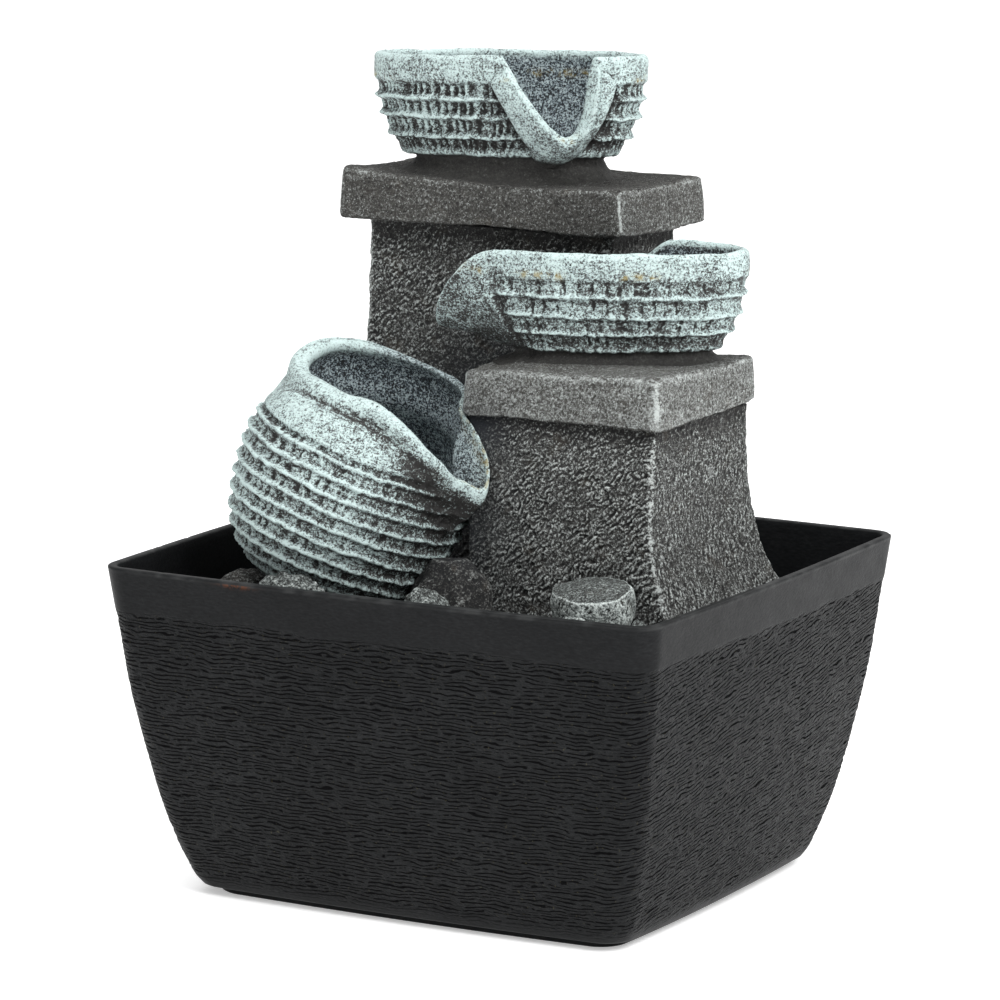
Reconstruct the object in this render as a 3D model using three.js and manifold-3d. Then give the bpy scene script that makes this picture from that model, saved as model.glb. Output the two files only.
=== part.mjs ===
// A tabletop water fountain: a tapered square-ish tub, a cast stone sculpture that lifts out of it,
// two oval bowls and a tilted jug on the sculpture, and a small submersible pump under it.
// Millimetres, +Z up, origin on the ground at the middle of the tub. Front is -Y.
import * as THREE from "three";
import { mergeVertices } from "three/addons/utils/BufferGeometryUtils.js";
import Module from "manifold-3d";

const wasm = await Module();
wasm.setup();

// ---- Driving dimensions -------------------------------------------------------------------

const GAP = 0.3; // between pieces that touch
const FAR = 400; // longer than the whole object, for cutting boxes

const TUB = {
  height: 108.2,
  narrower: 10.7, // the tub is this much shorter from its middle along Y
  wall: 3,
  floor: 6, // top of the floor
  bow: 1.6, // sagitta of each side in plan
  corner: 8.8,
  plinth: { half: 74.5, height: 2.6 },
  // half width along X at shares of the height above the plinth
  taper: [
    [0, 78.6],
    [0.03, 80.6],
    [0.08, 82.7],
    [0.2, 86.6],
    [0.4, 91.2],
    [0.6, 94.9],
    [0.8, 97.5],
    [1, 100],
  ],
  notch: { width: 8, depth: 7 }, // lets the cord over the rear rim
};

const TURN = THREE.MathUtils.degToRad(-4); // the sculpture stands slightly turned in its tub

// The hollow rock base, with ways for water at its foot and for the pump at its back.
const BASE = {
  halfX: 76,
  halfY: 65,
  squareness: 5,
  top: 93,
  wall: 6,
  ceiling: 86,
  inlet: { halfWidth: 7, height: 7, across: [-45, -15, 15, 45], sideHalfWidth: 8 },
  doorway: { halfWidth: 25, top: 52 },
};

const TALL = {
  x: -18,
  y: 43,
  pillar: { halfX: 46.8, halfY: 20.5, top: 207.7, wall: 5, corner: 3 },
  flare: { right: 9, left: 9, front: 9, rear: 7, power: 2 },
  slab: { halfX: 55.4, halfY: 26.5, low: 208, high: 223.5, corner: 3.5 },
  window: { left: -31, right: 29, low: 113, high: 196 }, // in its rear wall, from x above
  shaft: { halfX: 38, front: 15, rear: 14 }, // through the base under it
};

const LOW = {
  x: 36.5,
  y: 4,
  pillar: { halfX: 31.8, halfY: 26.5, top: 156.7, wall: 5, corner: 3 },
  flare: { right: 12, left: 0.5, front: 11, rear: 11, power: 2.4 },
  slab: { halfX: 37.6, halfY: 30.6, low: 157, high: 172, corner: 3.5 },
  shaft: { left: 14, right: 24, front: 22, rear: 18 },
};

const SLAB_EDGE = 1.6; // rounding of the slabs' top and bottom edges

const TOP_BOWL = {
  x: -22.2,
  y: 43,
  turn: 0,
  rim: [47.5, 25.5],
  low: 223.8,
  floor: 231,
  high: 263.8,
  wall: 4,
  squareness: 2.3,
  spout: { at: THREE.MathUtils.degToRad(-52), spread: 0.3, drop: 23, reach: 5 },
};

const MIDDLE_BOWL = {
  x: 36,
  y: 8,
  turn: THREE.MathUtils.degToRad(23),
  rim: [41.5, 19.5],
  low: 172.3,
  floor: 179.5,
  high: 207.4,
  wall: 4,
  squareness: 2.3,
  spout: { at: Math.PI, spread: 0.36, drop: 20, reach: 16 },
};

// share of the rim's half axes at shares of a bowl's height
const BOWL_PROFILE = [
  [0, 0.78],
  [0.1, 0.69],
  [0.26, 0.8],
  [0.39, 0.9],
  [0.53, 0.95],
  [0.66, 0.985],
  [1, 1],
];

const JUG = {
  centre: [-37.5, -31, 132],
  radius: 38.2,
  lean: THREE.MathUtils.degToRad(24), // towards +X
  wall: 4,
  mouth: { shift: -4, halfLong: 31, halfWide: 21, low: 26, arch: 9 },
  spout: { spread: 0.5, reach: 17.5 },
};

const PUMP = {
  x: -20,
  front: 8, // closed end of the motor housing, along Y
  low: 9.5,
  high: 41.5,
  halfX: 19,
  housingLength: 28,
  axisZ: 26,
  wall: 2,
  rear: 6, // thickness behind the rotor well
  well: { radius: 6.4, wall: 1.2, bottom: 1.5, depth: 22 },
  core: { arm: 5, yoke: 2.2, start: 3.5, end: 21, halfHeight: 6 },
  coil: { halfX: 12, start: 5, end: 19, low: 8.5, high: 12.5 }, // heights above the axis
  plate: { inset: 2.3, start: 0.4, end: 3 },
  gland: { right: 9, up: 7, length: 9 },
  cups: { inset: 6, halfPitch: 8 },
  volute: { halfX: 16.6, low: 12.2, high: 39.6, length: 11.7, chamberRadius: 10, chamberDepth: 8.5 },
  eye: { inner: 3, outer: 6, webs: 3, webHalf: 1, webReach: 8 },
  nipple: { outer: 4.5, inner: 3, top: 52 },
  shaft: { radius: 1, beyond: 7.4 },
  bushing: { outer: 2, length: 2, bore: 1.15, bottom: 0.7 },
  magnet: { bore: 1.1, clearance: 0.6, length: 17 },
  impeller: { bore: 1.4, hub: 4, radius: 8.6, disc: 1.2, height: 6, vanes: 6, vaneHalf: 0.6, behind: 0.6 },
  cover: { length: 12, overlap: 8, wall: 2, play: 0.4, slots: 5, slotHalf: 12, slotWidth: 2.2, slotPitch: 5 },
  regulator: { left: 17, right: 3, low: 9, high: 10, thick: 1.6, ridge: 3.4, ridgeAt: 10 },
  outletY: 42,
};

const TUBE = { inner: 4.9, outer: 6.5, low: 45, high: 229 };
const GROMMET = { outer: 9, low: 224.2, high: 229 };
const NOZZLE = {
  bore: 3.2,
  low: 222,
  flange: 7.4,
  flangeTop: 231.2,
  neck: 4.6,
  neckTop: 232.4,
  tip: 4.2,
  top: 239,
};

// loose-looking stones cast on the base: name, x, y, height of centre, half sizes, turn, colour
const STONES = [
  ["left_rock", -69, -47, 95, 10, 12, 10, 0.3, 0x6d6b68],
  ["pale_rock", -41, -65, 96, 12, 6.5, 12, -0.2, 0xb9bdba],
  ["rear_left_rock", -65, 1, 94, 8, 12, 8, 0.1, 0x5e5b58],
  ["dark_boulder", -3, -40, 97, 10, 8.5, 11, 0.2, 0x57534f],
  ["front_pebble", 4, -57, 96, 8, 4.5, 10, -0.1, 0x9aa09e],
  ["flat_stone", 57, -48.5, 98.5, 13.2, 9, 11, -0.05, 0x9da39f],
  ["small_pebble_1", 59.5, -61.5, 98, 6, 3, 8, 0, 0x8a908d],
  ["small_pebble_2", 75.5, -51, 96, 3.2, 5, 8, 0.2, 0x8a908d],
];

// ---- Materials ----------------------------------------------------------------------------

const paint = (color, roughness, metalness = 0) =>
  new THREE.MeshStandardMaterial({ color, roughness, metalness });

const BLACK_PLASTIC = paint(0x202224, 0.55);
const STONE = paint(0x5c5752, 0.85);
const STONE_DARK = paint(0x45413e, 0.9);
const PATINA = paint(0xaebdbc, 0.75);
const PUMP_BLACK = paint(0x17181a, 0.4);
const RUBBER = paint(0x2a2a2b, 0.8);
const EPOXY = paint(0x0f0f10, 0.25);
const STEEL = paint(0xb8babc, 0.3, 1);
const LAMINATION = paint(0x6f7276, 0.5, 0.9);
const COPPER = paint(0xb06a3c, 0.4, 0.9);
const FERRITE = paint(0x35373a, 0.6);
const WHITE_PLASTIC = paint(0xe2e3e0, 0.45);
const CLEAR_VINYL = paint(0xc9d2cf, 0.25);

// ---- Geometry helpers ---------------------------------------------------------------------

// A closed geometry as a manifold-3d solid, with only its positions kept.
function asSolid(geometry) {
  const bare = geometry.clone();
  bare.deleteAttribute("normal");
  bare.deleteAttribute("uv");
  const merged = mergeVertices(bare, 1e-4);
  return new wasm.Manifold(
    new wasm.Mesh({
      numProp: 3,
      vertProperties: merged.attributes.position.array,
      triVerts: new Uint32Array(merged.index.array),
    }),
  );
}

function asGeometry(solid) {
  const { vertProperties, triVerts } = solid.getMesh();
  const geometry = new THREE.BufferGeometry();
  geometry.setAttribute("position", new THREE.BufferAttribute(vertProperties, 3));
  geometry.setIndex(new THREE.BufferAttribute(triVerts, 1));
  geometry.computeVertexNormals();
  return geometry;
}

// Takes any number of solids or geometries out of the first one.
function cut(body, ...tools) {
  const solids = [body, ...tools].map((s) => (s.isBufferGeometry ? asSolid(s) : s));
  return solids.reduce((rest, tool) => rest.subtract(tool));
}

function join(...bodies) {
  const solids = bodies.map((s) => (s.isBufferGeometry ? asSolid(s) : s));
  return solids.reduce((all, next) => all.add(next));
}

// Sews rings of the same number of points. Both ends are capped, or joined to each other if looped.
function loft(rings, looped = false) {
  const count = rings[0].length;
  const positions = rings.flat().flatMap((p) => [p.x, p.y, p.z]);
  const index = [];
  const bands = looped ? rings.length : rings.length - 1;
  for (let k = 0; k < bands; k++) {
    const above = (k + 1) % rings.length;
    for (let i = 0; i < count; i++) {
      const next = (i + 1) % count;
      index.push(k * count + i, k * count + next, above * count + next);
      index.push(k * count + i, above * count + next, above * count + i);
    }
  }
  if (!looped) {
    const first = positions.length / 3;
    for (const ring of [rings[0], rings[rings.length - 1]]) {
      const middle = ring.reduce((sum, p) => sum.add(p), new THREE.Vector3()).divideScalar(count);
      positions.push(middle.x, middle.y, middle.z);
    }
    const last = (rings.length - 1) * count;
    for (let i = 0; i < count; i++) {
      const next = (i + 1) % count;
      index.push(first, next, i);
      index.push(first + 1, last + i, last + next);
    }
  }
  const geometry = new THREE.BufferGeometry();
  geometry.setAttribute("position", new THREE.Float32BufferAttribute(positions, 3));
  geometry.setIndex(index);
  return geometry;
}

// A rectangle in plan with round corners and sides that bow out, counter-clockwise.
function boxOutline(halfX, halfY, radius, bow = 0, sideSteps = 1, cornerSteps = 3) {
  const points = [];
  for (let side = 0; side < 4; side++) {
    const [reach, along] = side % 2 ? [halfY, halfX] : [halfX, halfY];
    const straight = along - bow - radius;
    const local = [];
    for (let i = 0; i <= sideSteps; i++) {
      const t = (2 * i) / sideSteps - 1;
      local.push([reach - bow * t * t, straight * t]);
    }
    for (let i = 1; i < cornerSteps; i++) {
      const angle = (i / cornerSteps) * (Math.PI / 2);
      local.push([
        reach - bow - radius * (1 - Math.cos(angle)),
        straight + radius * Math.sin(angle),
      ]);
    }
    const middle = new THREE.Vector2();
    for (const [x, y] of local) {
      points.push(new THREE.Vector2(x, y).rotateAround(middle, (side * Math.PI) / 2));
    }
  }
  return points;
}

// A superellipse in plan, counter-clockwise. Each point also keeps its own angle.
function ovalPoint(angle, halfX, halfY, squareness) {
  const power = 2 / squareness;
  const c = Math.cos(angle);
  const s = Math.sin(angle);
  return new THREE.Vector2(
    halfX * Math.sign(c) * Math.abs(c) ** power,
    halfY * Math.sign(s) * Math.abs(s) ** power,
  );
}

const atHeight = (outline, z) => outline.map((p) => new THREE.Vector3(p.x, p.y, z));

// Value at t of a line through [t, value] points.
function along(points, t) {
  const k = Math.max(1, points.findIndex((p) => p[0] >= t));
  const [t0, v0] = points[k - 1];
  const [t1, v1] = points[k];
  return THREE.MathUtils.mapLinear(t, t0, t1, v0, v1);
}

const box = (x0, x1, y0, y1, z0, z1) =>
  new THREE.BoxGeometry(x1 - x0, y1 - y0, z1 - z0).translate((x0 + x1) / 2, (y0 + y1) / 2, (z0 + z1) / 2);

// A turned piece on a vertical axis: profile points are [radius, height].
const turned = (profile, segments = 20) =>
  new THREE.LatheGeometry(profile.map(([r, z]) => new THREE.Vector2(r, z)), segments).rotateX(Math.PI / 2);

// A straight tube or ring on a vertical axis.
const ring = (inner, outer, low, high, segments = 20) =>
  turned([[inner, low], [outer, low], [outer, high], [inner, high], [inner, low]], segments);

const rod = (radius, low, high, segments = 20) =>
  turned([[0, low], [radius, low], [radius, high], [0, high]], segments);

// Lays a piece built on +Z down so that its +Z points along +Y.
const layAlongY = (geometry, x, y, z) => geometry.rotateX(-Math.PI / 2).translate(x, y, z);

function node(group, name, shape, material) {
  const mesh = new THREE.Mesh(shape.isBufferGeometry ? shape : asGeometry(shape), material);
  mesh.name = name;
  group.add(mesh);
  return mesh;
}

// ---- Tub ----------------------------------------------------------------------------------

function tubRing(z, inset) {
  const share = (z - TUB.plinth.height) / (TUB.height - TUB.plinth.height);
  const half = along(TUB.taper, Math.min(1, Math.max(0, share))) - inset;
  const radius = Math.max(TUB.corner - inset, 2);
  return atHeight(boxOutline(half, half - TUB.narrower, radius, TUB.bow, 4, 4), z);
}

function tub() {
  const { plinth, height, wall, floor, narrower, corner } = TUB;
  const foot = boxOutline(plinth.half, plinth.half - narrower, corner, TUB.bow, 4, 4);
  const shares = TUB.taper.map(([share]) => plinth.height + share * (height - plinth.height));
  const outside = shares.map((z) => tubRing(z, 0));
  const inside = [height, ...shares.slice(3, -1).reverse(), floor + 4]
    .map((z) => tubRing(z, wall));
  const shell = loft([
    atHeight(foot, 0),
    atHeight(foot, plinth.height),
    ...outside,
    ...inside,
    tubRing(floor, wall + 3).map((p) => p.setZ(floor)),
  ]);
  const { width, depth } = TUB.notch;
  return cut(shell, box(-width / 2, width / 2, 60, FAR, height - depth, FAR));
}

// ---- Pump ---------------------------------------------------------------------------------

function pumpHousing() {
  const { x, front, low, high, halfX, housingLength, axisZ, wall, rear, well } = PUMP;
  const back = front + housingLength;
  const wellStart = back - well.depth;
  const shell = box(x - halfX, x + halfX, front, back, low, high);
  const hollow = box(x - halfX + wall, x + halfX - wall, front - 1, back - rear, low + wall, high - wall);
  const wellWall = layAlongY(rod(well.radius + well.wall, 0, well.depth, 24), x, wellStart, axisZ);
  const wellBore = layAlongY(rod(well.radius, well.bottom, well.depth + 1, 24), x, wellStart, axisZ);
  return cut(join(cut(shell, hollow), wellWall), wellBore);
}

// A U of laminated steel whose arms run beside the rotor well.
function statorCore() {
  const { x, front, axisZ, well, core } = PUMP;
  const inner = well.radius + well.wall + GAP;
  const outer = inner + core.arm;
  const low = axisZ - core.halfHeight;
  const high = axisZ + core.halfHeight;
  const start = front + core.start;
  const leftArm = box(x - outer, x - inner, start, front + core.end, low, high);
  const rightArm = box(x + inner, x + outer, start, front + core.end, low, high);
  const yoke = box(x - outer, x + outer, start, start + core.yoke, low, high);
  return join(leftArm, rightArm, yoke);
}

// The winding fills a block above the core.
function statorCoil() {
  const { x, front, axisZ, coil } = PUMP;
  return box(
    x - coil.halfX, x + coil.halfX, front + coil.start, front + coil.end, axisZ + coil.low, axisZ + coil.high,
  );
}

function pottingPlate() {
  const { x, front, low, high, halfX, plate } = PUMP;
  const side = halfX - plate.inset;
  return box(
    x - side, x + side, front + plate.start, front + plate.end, low + plate.inset, high - plate.inset,
  );
}

const VOLUTE_START = PUMP.front + PUMP.housingLength + GAP;

function volute() {
  const { x, axisZ, volute: v, eye, nipple, bushing, outletY } = PUMP;
  const block = box(x - v.halfX, x + v.halfX, VOLUTE_START, VOLUTE_START + v.length, v.low, v.high);
  const spigot = rod(nipple.outer, v.high - 1, nipple.top).translate(x, outletY, 0);
  const bore = rod(nipple.inner, axisZ + 4, nipple.top + 8, 16).translate(x, outletY, 0);
  const chamber = layAlongY(rod(v.chamberRadius, -1, v.chamberDepth, 24), x, VOLUTE_START, axisZ);
  const eyeRing = layAlongY(ring(eye.inner, eye.outer, -1, v.length + 2), x, VOLUTE_START, axisZ);
  const seat = layAlongY(rod(bushing.outer + 0.2, -1, v.length - 1.4, 16), x, VOLUTE_START, axisZ);
  return cut(join(block, spigot), bore, chamber, cut(eyeRing, eyeWebs()), seat);
}

// The webs that hold the shaft seat in the middle of the impeller's eye.
function eyeWebs() {
  const { x, axisZ, volute: v, eye } = PUMP;
  const webs = [];
  for (let i = 0; i < eye.webs; i++) {
    const web = box(-eye.webHalf, eye.webHalf, -1, v.length + 3, 0, eye.webReach);
    webs.push(web.rotateY((i * 2 * Math.PI) / eye.webs).translate(x, VOLUTE_START, axisZ));
  }
  return join(...webs);
}

function impellerVanes() {
  const { x, axisZ, impeller } = PUMP;
  const hub = ring(impeller.bore, impeller.hub, 0, impeller.height);
  const disc = ring(impeller.bore, impeller.radius, 0, impeller.disc, 24);
  const vanes = [];
  for (let i = 0; i < impeller.vanes; i++) {
    const { vaneHalf: half } = impeller;
    const vane = box(impeller.hub - 1, impeller.radius, -half, half, impeller.disc / 2, impeller.height);
    vanes.push(vane.rotateZ((i * 2 * Math.PI) / impeller.vanes));
  }
  const start = VOLUTE_START + impeller.behind;
  return layAlongY(asGeometry(join(hub, disc, ...vanes)), x, start, axisZ);
}

function intakeCover() {
  const { x, cover, volute: v, nipple, axisZ, outletY } = PUMP;
  const start = VOLUTE_START + v.length - cover.overlap;
  const end = start + cover.length;
  const side = v.halfX + cover.play;
  const bottom = v.low - cover.play;
  const top = v.high + cover.play;
  const { wall } = cover;
  const shell = box(x - side - wall, x + side + wall, start, end, bottom - wall, top + wall);
  const inside = box(x - side, x + side, start - 1, end - wall, bottom, top);
  const slots = [];
  for (let i = 0; i < cover.slots; i++) {
    const z = axisZ + (i - (cover.slots - 1) / 2) * cover.slotPitch - 1;
    slots.push(box(x - cover.slotHalf, x + cover.slotHalf, end - wall - 1, end + 1, z, z + cover.slotWidth));
  }
  const clear = nipple.outer + 0.8;
  const nippleSlot = box(x - clear, x + clear, start - 1, outletY + clear, top - 1, top + wall + 1);
  return cut(shell, inside, nippleSlot, ...slots);
}

// A shutter that slides over the intake slots, with a ridge to push it by.
function flowRegulator() {
  const { x, cover, volute: v, regulator, axisZ } = PUMP;
  const { left, right, low, high, thick, ridge, ridgeAt } = regulator;
  const face = VOLUTE_START + v.length - cover.overlap + cover.length + GAP;
  const plate = box(x - left, x - right, face, face + thick, axisZ - low, axisZ + high);
  const grip = box(
    x - ridgeAt - 1, x - ridgeAt + 1, face + thick / 2, face + ridge, axisZ - low + 3, axisZ + high - 3,
  );
  return join(plate, grip);
}

function suctionCup() {
  return turned([[0, 0.6], [2, 0.5], [4.6, 0], [5, 0], [4.4, 0.8], [2.2, 1.6], [1.6, 2.9], [0, 2.9]]);
}

function cordGland() {
  const { length } = PUMP.gland;
  return turned(
    [[0, 0], [2.4, 0], [3.4, 4], [3.4, 6.5], [4.2, 6.7], [4.2, length], [0, length]],
    16,
  );
}

function addPump(group) {
  const { x, front, housingLength, low, halfX, axisZ, well, shaft, bushing, magnet, gland, cups } = PUMP;
  const back = front + housingLength;
  node(group, "pump_housing", pumpHousing(), PUMP_BLACK);
  node(group, "stator_core", statorCore(), LAMINATION);
  node(group, "stator_coil", statorCoil(), COPPER);
  node(group, "potting_plate", pottingPlate(), EPOXY);
  node(group, "volute_cover", volute(), PUMP_BLACK);
  const glandTip = front + PUMP.plate.start - GAP - gland.length;
  node(group, "cord_gland", layAlongY(cordGland(), x + gland.right, glandTip, low + gland.up), RUBBER);
  const shaftStart = back - well.depth + well.bottom + GAP;
  const pin = rod(shaft.radius, 1, well.depth + shaft.beyond, 12);
  node(group, "rotor_shaft", layAlongY(pin, x, shaftStart, axisZ), STEEL);
  const cupBushing = () =>
    asGeometry(cut(rod(bushing.outer, 0, bushing.length, 16), rod(bushing.bore, bushing.bottom, 3, 12)));
  node(group, "inner_bushing", layAlongY(cupBushing(), x, shaftStart, axisZ), RUBBER);
  const seatEnd = VOLUTE_START + PUMP.volute.length - 1.4 - GAP;
  const outer = cupBushing().rotateX(Math.PI);
  node(group, "outer_bushing", layAlongY(outer, x, seatEnd, axisZ), RUBBER);
  [[-1, -1], [1, -1], [1, 1], [-1, 1]].forEach(([sx, sy], i) => {
    const cup = node(group, `suction_cup_${i + 1}`, suctionCup(), RUBBER);
    const middleY = (front + back) / 2;
    cup.position.set(x + sx * (halfX - cups.inset), middleY + sy * cups.halfPitch, TUB.floor + GAP);
  });
  const rotor = new THREE.Group();
  const magnetStart = shaftStart + bushing.length + GAP;
  const sleeve = ring(magnet.bore, well.radius - magnet.clearance, 0, magnet.length, 24);
  node(rotor, "rotor_magnet", layAlongY(sleeve, x, magnetStart, axisZ), FERRITE);
  node(rotor, "impeller_vanes", impellerVanes(), WHITE_PLASTIC);
  const intake = new THREE.Group();
  node(intake, "intake_cover", intakeCover(), PUMP_BLACK);
  node(intake, "flow_regulator", flowRegulator(), WHITE_PLASTIC);
  group.add(rotor, intake);
}

// ---- Sculpture ----------------------------------------------------------------------------

// One level of a pillar: its four faces lean out towards the foot by their own amounts.
function pillarRing(spec, z, inset) {
  const { pillar, flare } = spec;
  const t = Math.min(1, Math.max(0, (pillar.top - z) / (pillar.top - BASE.top))) ** flare.power;
  const outline = boxOutline(pillar.halfX - inset, pillar.halfY - inset, pillar.corner, 0, 1, 3);
  const middle = new THREE.Vector2();
  return outline.map((p) => {
    const out = new THREE.Vector2(
      p.x + (p.x > 0 ? flare.right : -flare.left) * t,
      p.y + (p.y > 0 ? flare.rear : -flare.front) * t,
    ).rotateAround(middle, TURN);
    return new THREE.Vector3(spec.x + out.x, spec.y + out.y, z);
  });
}

const LEVELS = [0, 0.12, 0.28, 0.5, 0.75, 1];

function pillarLevels(spec, low, inset) {
  return LEVELS.map((t) => pillarRing(spec, THREE.MathUtils.lerp(low, spec.pillar.top, t), inset));
}

// The space that a pillar fills with its skin, plus a margin all round.
function pillarSpace(spec, margin) {
  const rings = pillarLevels(spec, BASE.top + GAP, -margin);
  const below = rings[0].map((p) => p.clone().setZ(p.z - 20));
  const above = rings[rings.length - 1].map((p) => p.clone().setZ(p.z + 2));
  return loft([below, ...rings, above]);
}

function tallPillarShell() {
  const low = BASE.top + GAP;
  const outside = pillarLevels(TALL, low, 0);
  const inside = pillarLevels(TALL, low, TALL.pillar.wall).reverse();
  return loft([...outside, ...inside], true);
}

// The rear window of the tall pillar, which its cover fills.
function rearWindow(shrink) {
  const { x, y, window: w } = TALL;
  return box(x + w.left + shrink, x + w.right - shrink, y + 7, FAR, w.low + shrink, w.high - shrink);
}

function lowPillar() {
  const low = BASE.top + GAP;
  const { wall, top } = LOW.pillar;
  const inside = pillarLevels(LOW, low, wall);
  inside[inside.length - 1] = pillarRing(LOW, top - wall, wall);
  const shell = loft([...inside.reverse(), ...pillarLevels(LOW, low, 0)]);
  return cut(shell, pillarSpace(TALL, GAP));
}

function slab(spec) {
  const { halfX, halfY, low, high, corner } = spec.slab;
  const middle = new THREE.Vector2();
  const level = (z, inset) =>
    boxOutline(halfX - inset, halfY - inset, corner, 0, 1, 3).map((p) => {
      const out = p.rotateAround(middle, TURN);
      return new THREE.Vector3(spec.x + out.x, spec.y + out.y, z);
    });
  return loft([
    level(low, SLAB_EDGE),
    level(low + SLAB_EDGE, 0),
    level(high - SLAB_EDGE, 0),
    level(high, SLAB_EDGE),
  ]);
}

const tubeHole = (radius, low, high) => rod(radius, low, high, 24).translate(PUMP.x, PUMP.outletY, 0);

// How far a point of a bowl's or jug's rim takes part in the spout: 1 at its middle.
function spoutShare(angle, spout) {
  const off = Math.atan2(Math.sin(angle - (spout.at ?? 0)), Math.cos(angle - (spout.at ?? 0)));
  return Math.exp(-((off / spout.spread) ** 2));
}

const AROUND = Array.from({ length: 36 }, (_, i) => (i / 36) * 2 * Math.PI);

function bowlRing(spec, share, inset, low) {
  const size = along(BOWL_PROFILE, share);
  const middle = new THREE.Vector2();
  return AROUND.map((angle) => {
    const w = spoutShare(angle, spec.spout);
    const p = ovalPoint(angle, spec.rim[0] * size - inset, spec.rim[1] * size - inset, spec.squareness);
    const reach = spec.spout.reach * w * share ** 2;
    p.addScaledVector(p.clone().normalize(), reach).rotateAround(middle, spec.turn);
    const z = low + share * (spec.high - spec.spout.drop * w - low);
    return new THREE.Vector3(spec.x + p.x, spec.y + p.y, z);
  });
}

function bowl(spec) {
  const outside = [0, 0.1, 0.26, 0.39, 0.53, 0.75, 1].map((s) => bowlRing(spec, s, 0, spec.low));
  const inside = [1, 0.7, 0.4, 0.18, 0].map((s) => bowlRing(spec, s, spec.wall, spec.floor));
  return loft([...outside, ...inside]);
}

// Jug: a ball leaning over to +X, with an arched oval mouth drawn out into a spout.
function jug() {
  const { radius, wall, mouth, spout, lean } = JUG;
  const belt = (latitude, r) =>
    AROUND.map((a) => new THREE.Vector3(
      r * Math.cos(latitude) * Math.cos(a),
      r * Math.cos(latitude) * Math.sin(a),
      r * Math.sin(latitude),
    ));
  const lip = (inset, drop) =>
    AROUND.map((a) => {
      const w = spoutShare(a, spout);
      return new THREE.Vector3(
        mouth.shift + (mouth.halfLong - inset) * Math.cos(a) + spout.reach * w,
        (mouth.halfWide - inset) * Math.sin(a),
        mouth.low + mouth.arch * Math.sin(a) ** 2 - drop,
      );
    });
  const deg = THREE.MathUtils.degToRad;
  const outside = [-78, -58, -38, -18, 0, 16, 30].map((d) => belt(deg(d), radius));
  const inside = [22, 8, -12, -34, -56, -76].map((d) => belt(deg(d), radius - wall));
  const shape = loft([...outside, lip(0, 4), lip(0, 0), lip(wall, 0), lip(wall + 1, 5), ...inside]);
  shape.rotateY(lean).translate(...JUG.centre);
  const ground = box(-FAR, FAR, -FAR, FAR, 0, BASE.top + GAP);
  return cut(shape, ground);
}

function baseRing(z, scale, inset) {
  return AROUND.map((angle) => {
    const p = ovalPoint(angle, BASE.halfX * scale - inset, BASE.halfY * scale - inset, BASE.squareness);
    const rough = 1 - 0.012 * (1 + Math.sin(5 * angle + 1)) - 0.01 * (1 + Math.sin(9 * angle));
    return new THREE.Vector3(p.x * rough, p.y * rough, z);
  });
}

function rockBase() {
  const { top, wall, ceiling } = BASE;
  const low = TUB.floor + GAP;
  const shell = loft([
    baseRing(ceiling, 0.97, wall + 2),
    baseRing(60, 1.0, wall),
    baseRing(low, 0.95, wall),
    baseRing(low, 0.95, 0),
    baseRing(30, 0.99, 0),
    baseRing(62, 1.02, 0),
    baseRing(84, 1.0, 0),
    baseRing(top, 0.97, 0),
  ]);
  const shafts = [TALL, LOW].map(({ x, y, shaft }) =>
    box(
      x - (shaft.left ?? shaft.halfX), x + (shaft.right ?? shaft.halfX), y - shaft.front, y + shaft.rear,
      ceiling - 5, FAR,
    ));
  const { inlet, doorway } = BASE;
  const inletTop = low + inlet.height;
  const door = box(PUMP.x - doorway.halfWidth, PUMP.x + doorway.halfWidth, 50, FAR, 0, doorway.top);
  const inlets = inlet.across.map((x) =>
    box(x - inlet.halfWidth, x + inlet.halfWidth, -FAR, -40, 0, inletTop));
  const { sideHalfWidth: side } = inlet;
  inlets.push(box(50, FAR, -side, side, 0, inletTop), box(-FAR, -50, -side, side, 0, inletTop));
  return cut(shell, ...shafts, door, ...inlets);
}

function stone([name, x, y, z, rx, ry, rz, turn, color]) {
  const shape = new THREE.IcosahedronGeometry(1, 2);
  const points = shape.attributes.position;
  const p = new THREE.Vector3();
  for (let i = 0; i < points.count; i++) {
    p.fromBufferAttribute(points, i);
    const lump = 1 + 0.06 * Math.sin(4 * p.x + 2 * p.y + x) - 0.05 * Math.cos(3 * p.y - p.z + y);
    const flat = Math.min(p.z, 0.86);
    points.setXYZ(i, p.x * lump * rx, p.y * lump * ry, flat * rz);
  }
  shape.rotateZ(turn).translate(x, y, z);
  const ground = box(-FAR, FAR, -FAR, FAR, -FAR, BASE.top + GAP);
  return { name, shape: cut(shape, ground), material: paint(color, 0.9) };
}

function outletNozzle() {
  const { bore, low, flange, flangeTop, neck, neckTop, tip, top } = NOZZLE;
  const spigot = TUBE.inner - GAP;
  const seat = TUBE.high + GAP;
  return turned([
    [bore, low],
    [spigot, low],
    [spigot, seat],
    [flange, seat],
    [flange, flangeTop],
    [neck, neckTop],
    [tip, top],
    [bore, top],
    [bore, low],
  ]);
}

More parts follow.
